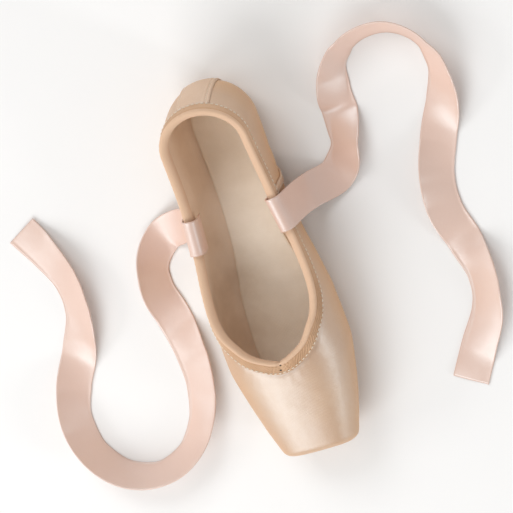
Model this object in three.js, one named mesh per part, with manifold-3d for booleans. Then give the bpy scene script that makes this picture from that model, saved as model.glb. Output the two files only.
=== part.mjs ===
// Pointe shoe: a satin upper over a stiffened box, a short leather sole, a bound collar and two flat ties.
// Millimetres, +Z up. A station is a distance along the shoe from the back of the heel towards the platform.
import * as THREE from "three";
import { mergeVertices } from "three/addons/utils/BufferGeometryUtils.js";
import Module from "manifold-3d";

// Driving dimensions of the last
const LENGTH = 236;
const HEEL_RADIUS = 27.5;
const HEEL_LEAN = 6.5;
const HEEL_LEAN_HEIGHT = 37;
const LEAN_FADES_AT = 110;
const PLATFORM_TILT = THREE.MathUtils.degToRad(5);
const PLATFORM_RAMP = 30;
const PLATFORM_HINGE_HEIGHT = 8;
const TIP_ROUND = 4.5;
const TOP_ROUNDNESS = 2.35;
const LEAN_POWER = 1.5;
const FLAT_TIP_SHARE = 0.4;

// half: half width at the widest height, wide: that height, crown: top, bottom: underside, flat: half width of the underside
const SECTIONS = [
  { station: 27.5, half: 27.5, wide: 20, crown: 94, bottom: 2.3, flat: 17.5 },
  { station: 48, half: 27.8, wide: 20, crown: 92, bottom: 2.3, flat: 16.8 },
  { station: 75, half: 29, wide: 20, crown: 88, bottom: 5.2, flat: 15.5 },
  { station: 100, half: 31.8, wide: 20, crown: 82, bottom: 6.2, flat: 16.5 },
  { station: 122, half: 35.2, wide: 20, crown: 73, bottom: 3.6, flat: 20.5 },
  { station: 142, half: 37.8, wide: 20, crown: 64, bottom: 2.3, flat: 24 },
  { station: 168, half: 38.4, wide: 20, crown: 53.5, bottom: 2.3, flat: 25 },
  { station: 190, half: 35.2, wide: 20, crown: 48, bottom: 3.4, flat: 22.5 },
  { station: 212, half: 30.1, wide: 20.5, crown: 42.5, bottom: 5.6, flat: 17.5 },
  { station: 236, half: 22.8, wide: 21.5, crown: 36, bottom: 8.2, flat: 12 },
];

// The collar's edge. behind: distance behind the throat, aside: distance from the middle line
const THROAT = 170;
const COLLAR_FRONT = [
  { behind: 0, aside: 0 },
  { behind: 2, aside: 7.5 },
  { behind: 8.7, aside: 18.5 },
  { behind: 16, aside: 24.3 },
];
const COLLAR_SIDES = [
  { behind: 25, height: 49.6 },
  { behind: 50, height: 43.8 },
  { behind: 75, height: 42 },
  { behind: 105, height: 45 },
  { behind: 142.5, height: 52 },
];
const HEEL_RISE = 5.4;

// Layers
const GAP = 0.3;
const WALL = 2.4;
const TIP_WALL = 4;
const OPENING_MARGIN = 7;
const FOLD = { halfWidth: 13.5, depth: 0.7, start: 200 };
const CUT_REACH = 8;

const SOLE = { start: 10.5, end: 214, margin: 1, thickness: 2, heelRound: 12, toeRound: 17, blunt: 0.45 };
const INSOLE = { start: 11, end: 224, margin: -0.6, thickness: 1.5, heelRound: 16.5, toeRound: 12, blunt: 0.12 };
const OPENING = { start: 24, end: 204, margin: -OPENING_MARGIN, heelRound: 8, toeRound: 12, blunt: 0.3 };

const BINDING = { outside: 7, inside: 5, cloth: 1, roll: 0.5, shoulder: 1, brow: -0.8, browRoll: 0.2, middle: 3.85 };
const TAPE = { top: 71, bottom: 61, width: 4.6, thickness: 0.8 };
const HEEL_STRIP = { width: 22, thickness: 0.7 };
const TIE = {
  width: 22,
  thickness: 1,
  station: 84,
  rimReach: 40,
  rimSteps: 16,
  steps: 54,
  flatBelow: 12,
  lands: 74,
  leanPerBend: 38,
  mostLean: 1.1,
  samples: 2000,
};

const ORIGIN_STATION = (LENGTH - GAP - HEEL_STRIP.thickness) / 2;

// How finely the faceted solids are stepped
const LAST_STEPS = { under: 6, over: 13, heel: 8, body: 25, tip: 3 };
const BOARD_STEPS = { heel: 5, middle: 26, toe: 6, across: 4 };
const FOLD_STEPS = { along: 14, across: 4 };
const TAPE_STEPS = { along: 12, across: 2 };
const HEEL_STRIP_STEPS = { up: 12, across: 6 };
const COLLAR_STEPS = { throat: 3.4, side: 7.5, heel: 4.8, throatReach: 48, samples: 900 };

const SATIN = { color: 0xf3dcc2, roughness: 0.38, metalness: 0 };
const BINDING_CLOTH = { color: 0xedc9a6, roughness: 0.6, metalness: 0 };
const RIBBON_SATIN = { color: 0xedc6b4, roughness: 0.35, metalness: 0 };
const SOLE_LEATHER = { color: 0xc79b6f, roughness: 0.9, metalness: 0 };
const BOARD = { color: 0xe0cba8, roughness: 0.85, metalness: 0 };

const wasm = await Module();
wasm.setup();

// Smooth curve through a table's column that never overshoots its rows
function tableCurve(rows, key, column) {
  const steps = rows.slice(1).map((row, i) => (row[column] - rows[i][column]) / (row[key] - rows[i][key]));
  const slopes = rows.map((row, i) => {
    if (i === 0) return steps[0];
    if (i === rows.length - 1) return steps[i - 1];
    const before = steps[i - 1];
    const after = steps[i];
    return before * after <= 0 ? 0 : (2 * before * after) / (before + after);
  });
  return (at) => {
    const x = THREE.MathUtils.clamp(at, rows[0][key], rows[rows.length - 1][key]);
    let i = 0;
    while (i < rows.length - 2 && x > rows[i + 1][key]) i += 1;
    const span = rows[i + 1][key] - rows[i][key];
    const t = (x - rows[i][key]) / span;
    const t2 = t * t;
    const t3 = t2 * t;
    return (
      (2 * t3 - 3 * t2 + 1) * rows[i][column] +
      (t3 - 2 * t2 + t) * span * slopes[i] +
      (3 * t2 - 2 * t3) * rows[i + 1][column] +
      (t3 - t2) * span * slopes[i + 1]
    );
  };
}

const sectionCurves = {
  half: tableCurve(SECTIONS, "station", "half"),
  wide: tableCurve(SECTIONS, "station", "wide"),
  crown: tableCurve(SECTIONS, "station", "crown"),
  bottom: tableCurve(SECTIONS, "station", "bottom"),
  flat: tableCurve(SECTIONS, "station", "flat"),
};

// How far the sections draw in where the platform's edge is rounded
function tipDraw(station) {
  const left = Math.max(TIP_ROUND - (LENGTH - station), 0);
  return TIP_ROUND - Math.sqrt(Math.max(TIP_ROUND * TIP_ROUND - left * left, 0));
}

// A point of a section, seen from the end of the shoe. girth runs from -2 at the middle of the underside
// over -1 at the edge of the flat and 0 at the widest height to 1 at the crown.
function sectionPoint(station, girth, inset) {
  const draw = inset + tipDraw(station);
  const half = sectionCurves.half(station) - draw;
  const wide = sectionCurves.wide(station);
  const crown = sectionCurves.crown(station) - draw;
  const bottom = sectionCurves.bottom(station) + draw;
  const flat = sectionCurves.flat(station) - FLAT_TIP_SHARE * tipDraw(station);
  if (girth <= -1) return { out: flat * (girth + 2), up: bottom };
  if (girth <= 0) {
    const turn = ((girth + 1) * Math.PI) / 2;
    return { out: flat + (half - flat) * Math.sin(turn), up: wide - (wide - bottom) * Math.cos(turn) };
  }
  const turn = (girth * Math.PI) / 2;
  const power = 2 / TOP_ROUNDNESS;
  return {
    out: half * Math.max(Math.cos(turn), 0) ** power,
    up: wide + (crown - wide) * Math.sin(turn) ** power,
  };
}

// The last's surface. Past the heel's axis the run goes on round the heel, a quarter turn to the middle of its back.
const HEEL_BACK = HEEL_RADIUS - (HEEL_RADIUS * Math.PI) / 2;
function lastPoint(run, girth, inset, side) {
  if (girth > 1) return lastPoint(run, 2 - girth, inset, -side);
  const station = Math.max(run, HEEL_RADIUS);
  const turn = (station - run) / HEEL_RADIUS;
  const { out, up } = sectionPoint(station, girth, inset);
  const along = station - out * Math.sin(turn);
  const leanShare = 1 - THREE.MathUtils.smoothstep(along, 0, LEAN_FADES_AT);
  const wide = sectionCurves.wide(station);
  const lean = HEEL_LEAN * leanShare * Math.max((up - wide) / HEEL_LEAN_HEIGHT, 0) ** LEAN_POWER;
  const ramp = THREE.MathUtils.clamp((along - LENGTH) / PLATFORM_RAMP + 1, 0, 1) ** 2;
  const tilt = Math.tan(PLATFORM_TILT) * (up - PLATFORM_HINGE_HEIGHT) * ramp;
  return new THREE.Vector3(along + lean - tilt, side * out * Math.cos(turn), up);
}

// The girths at which a section has a height, or a distance from the middle line
function girthAtHeight(station, height) {
  const wide = sectionCurves.wide(station);
  const share = (height - wide) / (sectionCurves.crown(station) - wide);
  return (Math.asin(share ** (TOP_ROUNDNESS / 2)) * 2) / Math.PI;
}

function girthAtSide(station, aside) {
  return (Math.acos((aside / sectionCurves.half(station)) ** (TOP_ROUNDNESS / 2)) * 2) / Math.PI;
}

const collarCurve = tableCurve(
  [
    ...COLLAR_FRONT.map(({ behind, aside }) => ({ behind, girth: girthAtSide(THROAT - behind, aside) })),
    ...COLLAR_SIDES.map(({ behind, height }) => ({ behind, girth: girthAtHeight(THROAT - behind, height) })),
  ].map(({ behind, girth }) => ({ root: Math.sqrt(behind), girth })),
  "root",
  "girth",
);
const HEEL_HEIGHT = COLLAR_SIDES[COLLAR_SIDES.length - 1].height;

function collarGirth(run) {
  if (run > HEEL_RADIUS) return collarCurve(Math.sqrt(THROAT - run));
  return girthAtHeight(HEEL_RADIUS, HEEL_HEIGHT + HEEL_RISE * Math.sin(1 - run / HEEL_RADIUS));
}

// Closes a list of triangles into one mesh with shared vertices
const WELD = 1e-3;
function closedGeometry(corners) {
  const soup = new THREE.BufferGeometry();
  soup.setAttribute("position", new THREE.Float32BufferAttribute(corners.flatMap((p) => [p.x, p.y, p.z]), 3));
  const merged = mergeVertices(soup, WELD);
  const index = [...merged.index.array];
  const kept = [];
  for (let i = 0; i < index.length; i += 3) {
    const [a, b, c] = index.slice(i, i + 3);
    if (a !== b && b !== c && c !== a) kept.push(a, b, c);
  }
  merged.setIndex(kept);
  return merged;
}

function quad(corners, a, b, c, d) {
  corners.push(a, b, c, a, c, d);
}

// A slab over a grid of places: point(i, j, 1) is its outer face and point(i, j, 0) its inner face
function slab(rows, columns, point) {
  const corners = [];
  for (let i = 0; i < rows; i += 1) {
    for (let j = 0; j < columns; j += 1) {
      quad(corners, point(i, j, 1), point(i + 1, j, 1), point(i + 1, j + 1, 1), point(i, j + 1, 1));
      quad(corners, point(i, j, 0), point(i, j + 1, 0), point(i + 1, j + 1, 0), point(i + 1, j, 0));
    }
  }
  for (let i = 0; i < rows; i += 1) {
    quad(corners, point(i, 0, 0), point(i + 1, 0, 0), point(i + 1, 0, 1), point(i, 0, 1));
    quad(corners, point(i, columns, 1), point(i + 1, columns, 1), point(i + 1, columns, 0), point(i, columns, 0));
  }
  for (let j = 0; j < columns; j += 1) {
    quad(corners, point(0, j, 1), point(0, j + 1, 1), point(0, j + 1, 0), point(0, j, 0));
    quad(corners, point(rows, j, 0), point(rows, j + 1, 0), point(rows, j + 1, 1), point(rows, j, 1));
  }
  return corners;
}

// A tube whose section, a ring of points, is carried round a closed or open row of stops
function sweep(rings, closed) {
  const corners = [];
  const stops = closed ? rings.length : rings.length - 1;
  for (let k = 0; k < stops; k += 1) {
    const here = rings[k];
    const next = rings[(k + 1) % rings.length];
    for (let j = 0; j < here.length; j += 1) {
      const m = (j + 1) % here.length;
      quad(corners, here[j], next[j], next[m], here[m]);
    }
  }
  if (closed) return corners;
  const first = rings[0];
  const last = rings[rings.length - 1];
  for (let j = 1; j < first.length - 1; j += 1) {
    corners.push(first[0], first[j], first[j + 1]);
    corners.push(last[0], last[j + 1], last[j]);
  }
  return corners;
}

function solid(corners) {
  const geometry = closedGeometry(corners);
  const mesh = new wasm.Mesh({
    numProp: 3,
    vertProperties: geometry.attributes.position.array,
    triVerts: new Uint32Array(geometry.index.array),
  });
  const made = new wasm.Manifold(mesh);
  if (made.volume() > 0) return made;
  const turned = [];
  for (let i = 0; i < corners.length; i += 3) turned.push(corners[i], corners[i + 2], corners[i + 1]);
  return solid(turned);
}

function geometryOf(manifold) {
  const mesh = manifold.getMesh();
  const geometry = new THREE.BufferGeometry();
  geometry.setAttribute("position", new THREE.BufferAttribute(mesh.vertProperties, 3));
  geometry.setIndex(new THREE.BufferAttribute(mesh.triVerts, 1));
  geometry.computeVertexNormals();
  return geometry;
}

function range(count, low, high, shape = (t) => t) {
  return Array.from({ length: count + 1 }, (_, i) => low + (high - low) * shape(i / count));
}

// The whole last, closed over its top, at an inset and up to a tip station
function closedLast(inset, tip) {
  const girths = [-2, ...range(LAST_STEPS.under, -1, 0).slice(0, -1), ...range(LAST_STEPS.over, 0, 1)];
  const heelRuns = range(LAST_STEPS.heel, HEEL_BACK, HEEL_RADIUS).slice(0, -1);
  const bodyRuns = range(LAST_STEPS.body, HEEL_RADIUS, tip - TIP_ROUND).slice(0, -1);
  const tipRuns = range(LAST_STEPS.tip, tip - TIP_ROUND, tip, (t) => Math.sin((t * Math.PI) / 2));
  const runs = [...heelRuns, ...bodyRuns, ...tipRuns];
  const corners = [];
  for (const side of [1, -1]) {
    const columns = runs.map((run) => girths.map((girth) => lastPoint(run, girth, inset, side)));
    for (let i = 0; i < runs.length - 1; i += 1) {
      for (let j = 0; j < girths.length - 1; j += 1) {
        const [a, b] = side > 0 ? [i, i + 1] : [i + 1, i];
        quad(corners, columns[a][j], columns[b][j], columns[b][j + 1], columns[a][j + 1]);
      }
    }
    const rim = columns[runs.length - 1];
    const middle = rim[0].clone().lerp(rim[rim.length - 1], 0.5);
    for (let j = 0; j < rim.length - 1; j += 1) {
      const [a, b] = side > 0 ? [rim[j], rim[j + 1]] : [rim[j + 1], rim[j]];
      corners.push(middle, b, a);
    }
  }
  return solid(corners);
}

const at = (place, inset) => lastPoint(place.run, place.girth, inset, place.side);

// The places of the collar's edge, once round: from the throat over one side and the heel's back to the other side
function collarLoop() {
  const stepAt = (run) => {
    if (run > THROAT - COLLAR_STEPS.throatReach) return COLLAR_STEPS.throat;
    return run > HEEL_RADIUS ? COLLAR_STEPS.side : COLLAR_STEPS.heel;
  };
  const runs = range(COLLAR_STEPS.samples, THROAT, HEEL_BACK, (t) => t * t);
  const fine = runs.map((run) => ({ run, girth: collarGirth(run), side: 1 }));
  const one = [fine[0]];
  let travelled = 0;
  for (let i = 1; i < fine.length - 1; i += 1) {
    travelled += at(fine[i], 0).distanceTo(at(fine[i - 1], 0)) / stepAt(fine[i].run);
    if (travelled < 1) continue;
    travelled -= 1;
    one.push(fine[i]);
  }
  if (travelled < 0.5) one.pop();
  one.push(fine[fine.length - 1]);
  const other = one.slice(1, -1).reverse().map((place) => ({ ...place, side: -1 }));
  return [...one, ...other];
}

// Everything above the collar's edge, cut square to the wall
function collarCutter() {
  const REACH = 6;
  const SKY = 140;
  const loop = collarLoop();
  const corners = [];
  const onSpine = (p, up) => new THREE.Vector3(p.x, 0, up);
  const stops = loop.map((place) => {
    const outer = at(place, -REACH);
    const inner = at(place, REACH);
    const top = new THREE.Vector3(outer.x, outer.y, SKY);
    return { inner, outer, top, low: onSpine(inner, inner.z), high: onSpine(outer, SKY) };
  });
  stops.forEach((here, k) => {
    const next = stops[(k + 1) % stops.length];
    const rails = ["low", "inner", "outer", "top", "high"];
    for (let j = 0; j < rails.length - 1; j += 1) {
      quad(corners, here[rails[j]], here[rails[j + 1]], next[rails[j + 1]], next[rails[j]]);
    }
  });
  return solid(corners);
}

// Half width of a sole-like outline: it follows the last's flat underside and is rounded at both ends
function outlineHalf(shape, station) {
  const fromHeel = Math.min((station - shape.start) / shape.heelRound, 1);
  const fromToe = Math.min((shape.end - station) / shape.toeRound, 1);
  const roundness = (share) => shape.blunt + (1 - shape.blunt) * Math.sqrt(1 - (1 - share) ** 2);
  return (sectionCurves.flat(station) + shape.margin) * roundness(fromHeel) * roundness(fromToe);
}

// A board that follows the underside, between two levels measured from it
function board(shape, low, high) {
  const ease = (t) => (1 - Math.cos(t * Math.PI)) / 2;
  const stations = [
    ...range(BOARD_STEPS.heel, shape.start, shape.start + shape.heelRound, (t) => t * t).slice(0, -1),
    ...range(BOARD_STEPS.middle, shape.start + shape.heelRound, shape.end - shape.toeRound).slice(0, -1),
    ...range(BOARD_STEPS.toe, shape.end - shape.toeRound, shape.end, (t) => 1 - (1 - t) ** 2),
  ];
  const across = range(BOARD_STEPS.across, -1, 1, ease);
  return solid(
    slab(stations.length - 1, across.length - 1, (i, j, layer) => {
      const station = stations[i];
      const level = sectionCurves.bottom(station) + (layer ? high : low);
      return new THREE.Vector3(station, outlineHalf(shape, station) * across[j], level);
    }),
  );
}

// The outer cloth turns under the box beside the sole's tip and leaves a shallow recess between its two edges
function foldRecess() {
  const stations = range(FOLD_STEPS.along, FOLD.start, LENGTH + CUT_REACH);
  return solid(
    slab(FOLD_STEPS.along, FOLD_STEPS.across, (i, j, layer) => {
      const level = sectionCurves.bottom(stations[i]) + tipDraw(Math.min(stations[i], LENGTH));
      const aside = FOLD.halfWidth * ((2 * j) / FOLD_STEPS.across - 1);
      return new THREE.Vector3(stations[i], aside, level + (layer ? FOLD.depth : -CUT_REACH));
    }),
  );
}

function upperSolid() {
  return closedLast(0, LENGTH)
    .subtract(closedLast(WALL, LENGTH - TIP_WALL))
    .subtract(collarCutter())
    .subtract(board(OPENING, -CUT_REACH, WALL + CUT_REACH))
    .subtract(foldRecess());
}

// Walks over the last, square to a direction, for a distance. Positive distances lead down from the collar.
function walk(place, direction, distance) {
  const STEP = 1.2;
  const NEAR_RUN = 0.5;
  const NEAR_GIRTH = 0.01;
  // Down the last, the run grows or the girth falls: these sizes weigh one against the other
  const RUN_SCALE = 40;
  const GIRTH_SCALE = 0.3;
  const count = Math.max(Math.ceil(Math.abs(distance) / STEP), 1);
  const spot = { ...place };
  for (let k = 0; k < count; k += 1) {
    const shifted = (run, girth) => at({ ...spot, run: spot.run + run, girth: spot.girth + girth }, 0);
    const byRun = shifted(NEAR_RUN, 0).sub(shifted(-NEAR_RUN, 0)).divideScalar(2 * NEAR_RUN);
    const byGirth = shifted(0, NEAR_GIRTH).sub(shifted(0, -NEAR_GIRTH)).divideScalar(2 * NEAR_GIRTH);
    let run = -byGirth.dot(direction);
    let girth = byRun.dot(direction);
    if (run / RUN_SCALE - girth / GIRTH_SCALE < 0) {
      run = -run;
      girth = -girth;
    }
    const length = byRun.multiplyScalar(run).add(byGirth.multiplyScalar(girth)).length();
    spot.run += (run / length) * (distance / count);
    spot.girth += (girth / length) * (distance / count);
  }
  return spot;
}

// Folded cloth over the collar's edge, with a rolled rim
function bindingSolid() {
  const outer = -GAP - BINDING.cloth;
  const inner = WALL + GAP + BINDING.cloth;
  const profile = [
    { down: BINDING.outside, inset: outer },
    { down: BINDING.middle, inset: outer - BINDING.roll / 2 },
    { down: BINDING.shoulder, inset: outer - BINDING.roll },
    { down: BINDING.brow, inset: outer - BINDING.browRoll },
    { down: -GAP - BINDING.cloth - BINDING.roll, inset: WALL / 2 },
    { down: BINDING.brow, inset: inner + BINDING.browRoll },
    { down: BINDING.shoulder, inset: inner + BINDING.roll },
    { down: BINDING.inside, inset: inner },
    { down: BINDING.inside, inset: WALL + GAP },
    { down: -GAP, inset: WALL + GAP },
    { down: -GAP, inset: -GAP },
    { down: BINDING.outside / 2, inset: -GAP },
    { down: BINDING.outside, inset: -GAP },
  ];
  const loop = collarLoop();
  const edge = loop.map((place) => at(place, 0));
  const rings = loop.map((place, k) => {
    const before = edge[(k + edge.length - 1) % edge.length];
    const after = edge[(k + 1) % edge.length];
    const direction = after.clone().sub(before).normalize();
    return profile.map(({ down, inset }) => at(walk(place, direction, down), inset));
  });
  return solid(sweep(rings, true));
}

// The girth just below the binding, and the girth just above the sole's edge
const BELOW_BINDING = BINDING.outside + GAP;
function girthUnderBinding(run) {
  const place = { run, girth: collarGirth(run), side: 1 };
  const ahead = { run: run + 1, girth: collarGirth(run + 1), side: 1 };
  return walk(place, at(ahead, 0).sub(at(place, 0)).normalize(), BELOW_BINDING).girth;
}
const GIRTH_AT_SOLE = -0.86;

// Raised tape over the seam at the waist, from the binding to the sole
function seamTapeSolid(side) {
  const top = girthUnderBinding(TAPE.top);
  return solid(
    slab(TAPE_STEPS.along, TAPE_STEPS.across, (i, j, layer) => {
      const share = i / TAPE_STEPS.along;
      const girth = THREE.MathUtils.lerp(top, GIRTH_AT_SOLE, share);
      const aside = TAPE.width * (j / TAPE_STEPS.across - 0.5);
      const run = THREE.MathUtils.lerp(TAPE.top, TAPE.bottom, share) + aside;
      return lastPoint(run, girth, -GAP - layer * TAPE.thickness, side);
    }),
  );
}

// Strip up the middle of the heel's back, from the sole's end to the binding
function heelStripSolid() {
  return solid(
    slab(HEEL_STRIP_STEPS.up, HEEL_STRIP_STEPS.across, (i, j, layer) => {
      const aside = (j / HEEL_STRIP_STEPS.across - 0.5) * HEEL_STRIP.width;
      const top = girthUnderBinding(HEEL_BACK + Math.abs(aside));
      const girth = THREE.MathUtils.lerp(GIRTH_AT_SOLE, top, i / HEEL_STRIP_STEPS.up);
      const { out } = sectionPoint(HEEL_RADIUS, girth, 0);
      return lastPoint(HEEL_BACK + (aside / out) * HEEL_RADIUS, girth, -GAP - layer * HEEL_STRIP.thickness, 1);
    }),
  );
}

// A tie's way over the floor, from the foot of the upper: station, and distance from the shoe's middle line
const TIE_ON_FLOOR = {
  left: [
    { station: 80, aside: 57 },
    { station: 68, aside: 67 },
    { station: 50, aside: 71 },
    { station: 31, aside: 73 },
    { station: 13, aside: 80 },
    { station: 2, aside: 95 },
    { station: 1, aside: 115 },
    { station: 12, aside: 131 },
    { station: 31, aside: 138 },
    { station: 53, aside: 134 },
    { station: 74, aside: 124 },
    { station: 96, aside: 116 },
    { station: 118, aside: 114 },
    { station: 140, aside: 119 },
    { station: 162, aside: 123 },
    { station: 184, aside: 119 },
    { station: 204, aside: 107 },
    { station: 224, aside: 95 },
  ],
  right: [
    { station: 87, aside: 57 },
    { station: 98, aside: 67 },
    { station: 116, aside: 71 },
    { station: 138, aside: 68 },
    { station: 161, aside: 65 },
    { station: 184, aside: 66 },
    { station: 206, aside: 74 },
    { station: 222, aside: 89 },
    { station: 228, aside: 109 },
    { station: 222, aside: 129 },
    { station: 206, aside: 143 },
    { station: 184, aside: 148 },
    { station: 162, aside: 143 },
    { station: 141, aside: 132 },
    { station: 120, aside: 124 },
    { station: 98, aside: 124 },
    { station: 78, aside: 132 },
    { station: 60, aside: 142 },
  ],
};

// The tie starts inside the collar, turns over the binding and falls to the floor
const TIE_OVER_COLLAR = [
  { out: -4.4, up: -14 },
  { out: -5.3, up: -7 },
  { out: -5.6, up: -2 },
  { out: -4.6, up: 1.8 },
  { out: -1.3, up: 3.6 },
  { out: 2.2, up: 2.2 },
  { out: 3.6, up: -2 },
  { out: 4.6, up: -9 },
  { out: 6.2, up: -18 },
  { out: 9, up: -28 },
  { out: 13.5, up: -35.5 },
];

// The middle of the tie's place on the collar's edge, and the way the edge runs there
function tieSeat(side) {
  const edgeAt = (station) => lastPoint(station, collarGirth(station), 0, side);
  const along = edgeAt(TIE.station + TIE.width / 2).sub(edgeAt(TIE.station - TIE.width / 2));
  return { edge: edgeAt(TIE.station), along: along.normalize() };
}

function tieRoute(name) {
  const side = name === "left" ? 1 : -1;
  const { edge, along } = tieSeat(side);
  const high = TIE_OVER_COLLAR.map(({ out, up }) => {
    const outward = new THREE.Vector3(-along.y, along.x, 0).setLength(out).multiplyScalar(side);
    return edge.clone().add(outward).setZ(edge.z + up);
  });
  const level = GAP + TIE.thickness / 2;
  const low = TIE_ON_FLOOR[name].map(({ station, aside }) => new THREE.Vector3(station, side * aside, level));
  return [...high, ...low];
}

// How far a tie leans at each stop: it lies flat where it runs straight and stands towards its edge where it bends
function tieLeans(ways, distances) {
  const WINDOW = 3;
  const last = ways.length - 1;
  const bends = ways.map((_, k) => {
    const before = Math.max(k - 1, 0);
    const after = Math.min(k + 1, last);
    const turned = ways[before].x * ways[after].y - ways[before].y * ways[after].x;
    return turned / (distances[after] - distances[before]);
  });
  return bends.map((_, k) => {
    const near = bends.slice(Math.max(k - WINDOW, 0), Math.min(k + WINDOW, last) + 1);
    const bend = near.reduce((sum, value) => sum + value, 0) / near.length;
    const landed = THREE.MathUtils.smoothstep(distances[k], TIE.lands, TIE.lands + TIE.width * 2);
    return -THREE.MathUtils.clamp(bend * TIE.leanPerBend, -TIE.mostLean, TIE.mostLean) * landed;
  });
}

function tieSolid(name) {
  const side = name === "left" ? 1 : -1;
  const curve = new THREE.CatmullRomCurve3(tieRoute(name), false, "centripetal");
  curve.arcLengthDivisions = TIE.samples;
  const length = curve.getLength();
  const distances = [...range(TIE.rimSteps, 0, TIE.rimReach).slice(0, -1), ...range(TIE.steps, TIE.rimReach, length)];
  const ways = distances.map((distance) => curve.getTangentAt(distance / length));
  const leans = tieLeans(ways, distances);
  const { along } = tieSeat(side);
  const rings = distances.map((distance, k) => {
    const way = ways[k];
    const middle = curve.getPointAt(distance / length);
    const level = middle.z > TIE.flatBelow ? along.clone().multiplyScalar(-side) : new THREE.Vector3(-way.y, way.x, 0);
    const width = level.normalize().multiplyScalar(Math.cos(leans[k]));
    width.z += Math.sin(leans[k]);
    const thick = way.clone().cross(width).normalize();
    middle.z += (TIE.width / 2) * Math.abs(Math.sin(leans[k]));
    const corner = (a, b) => {
      const point = middle.clone().addScaledVector(width, (a * TIE.width) / 2);
      point.addScaledVector(thick, (b * TIE.thickness) / 2);
      point.z = Math.max(point.z, GAP + (b > 0 ? TIE.thickness : 0));
      return point;
    };
    return [corner(-1, -1), corner(1, -1), corner(1, 1), corner(-1, 1)];
  });
  return solid(sweep(rings, false));
}

const shoe = new THREE.Group();
const frame = new THREE.Group();
frame.position.set(-ORIGIN_STATION, 0, 0);
shoe.add(frame);

function addPart(name, manifold, look) {
  const mesh = new THREE.Mesh(geometryOf(manifold), new THREE.MeshStandardMaterial(look));
  mesh.name = name;
  frame.add(mesh);
}

addPart("upper", upperSolid(), SATIN);
addPart("outsole", board(SOLE, -GAP - SOLE.thickness, -GAP), SOLE_LEATHER);
addPart("insole", board(INSOLE, WALL + GAP, WALL + GAP + INSOLE.thickness), BOARD);
addPart("collar_binding", bindingSolid(), BINDING_CLOTH);
addPart("seam_tape_left", seamTapeSolid(1), SATIN);
addPart("seam_tape_right", seamTapeSolid(-1), SATIN);
addPart("heel_strip", heelStripSolid(), SATIN);
addPart("ribbon_left", tieSolid("left"), RIBBON_SATIN);
addPart("ribbon_right", tieSolid("right"), RIBBON_SATIN);

export default shoe;
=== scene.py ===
"""Pointe shoe: the looks of its pieces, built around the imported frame.

Shapes are worked out in millimetres in the shoe's own sizes and go into Blender in metres. A station is a
distance along the shoe from the back of the heel. A run is the same, but past the heel's axis it goes on
round the heel. A girth runs round a section, from -2 at the middle of the underside to 1 at the crown.
"""

import math

import bmesh
import bpy
import numpy as np
from mathutils import Euler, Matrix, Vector


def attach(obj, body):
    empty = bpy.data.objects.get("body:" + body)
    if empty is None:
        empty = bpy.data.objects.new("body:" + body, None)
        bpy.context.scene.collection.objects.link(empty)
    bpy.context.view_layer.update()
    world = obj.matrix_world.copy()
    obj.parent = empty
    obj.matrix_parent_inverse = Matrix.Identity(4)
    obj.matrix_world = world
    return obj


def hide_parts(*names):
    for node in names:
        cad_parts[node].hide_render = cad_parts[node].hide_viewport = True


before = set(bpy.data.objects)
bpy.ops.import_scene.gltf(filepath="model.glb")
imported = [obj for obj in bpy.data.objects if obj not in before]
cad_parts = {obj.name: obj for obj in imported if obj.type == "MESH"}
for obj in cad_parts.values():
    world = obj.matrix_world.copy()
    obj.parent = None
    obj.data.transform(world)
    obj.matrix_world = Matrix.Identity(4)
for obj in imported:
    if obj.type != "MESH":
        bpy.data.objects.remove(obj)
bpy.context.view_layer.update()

MM = 0.001
SEED = 7

# Driving sizes of the last, as in the frame
LENGTH = 236.0
HEEL_RADIUS = 27.5
HEEL_LEAN = 6.5
HEEL_LEAN_HEIGHT = 37.0
LEAN_FADES_AT = 110.0
LEAN_POWER = 1.5
PLATFORM_TILT = math.radians(5)
PLATFORM_RAMP = 30.0
PLATFORM_HINGE_HEIGHT = 8.0
TIP_ROUND = 4.5
TOP_ROUNDNESS = 2.35
FLAT_TIP_SHARE = 0.4

# half: half width at the widest height, wide: that height, crown: top, bottom: underside,
# flat: half width of the underside's flat
SECTIONS = {
    "station": [27.5, 48, 75, 100, 122, 142, 168, 190, 212, 236],
    "half": [27.5, 27.8, 29, 31.8, 35.2, 37.8, 38.4, 35.2, 30.1, 22.8],
    "wide": [20, 20, 20, 20, 20, 20, 20, 20, 20.5, 21.5],
    "crown": [94, 92, 88, 82, 73, 64, 53.5, 48, 42.5, 36],
    "bottom": [2.3, 2.3, 5.2, 6.2, 3.6, 2.3, 2.3, 3.4, 5.6, 8.2],
    "flat": [17.5, 16.8, 15.5, 16.5, 20.5, 24, 25, 22.5, 17.5, 12],
}
THROAT = 170.0
COLLAR_FRONT = {"behind": [0, 2, 8.7, 16], "aside": [0, 7.5, 18.5, 24.3]}
COLLAR_SIDES = {"behind": [25, 50, 75, 105, 142.5], "height": [49.6, 43.8, 42, 45, 52]}
HEEL_RISE = 5.4

# Layers
GAP = 0.3
WALL = 2.4
TIP_WALL = 4.0
FOLD = {"half_width": 13.5, "depth": 0.7, "start": 200.0, "stitches_inside": 4.2}
SOLE = {
    "start": 10.5, "end": 214.0, "margin": 1.0, "thickness": 2.0,
    "heel_round": 12.0, "toe_round": 17.0, "blunt": 0.45,
}
INSOLE = {
    "start": 11.0, "end": 224.0, "margin": -0.6, "thickness": 1.5,
    "heel_round": 16.5, "toe_round": 12.0, "blunt": 0.12,
}
BINDING_DEPTH = 7.0
TAPE = {"top": 71.0, "bottom": 61.0, "width": 4.6, "thickness": 0.8, "sewn_at": 0.62}
HEEL_STRIP = {"width": 22.0, "thickness": 0.7, "sewn_at": 2.3}
SEAM_STITCH = {"pitch": 2.3, "length": 1.7, "radius": 0.17}
GIRTH_AT_SOLE = -0.86
ORIGIN_STATION = (LENGTH - GAP - HEEL_STRIP["thickness"]) / 2

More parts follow.
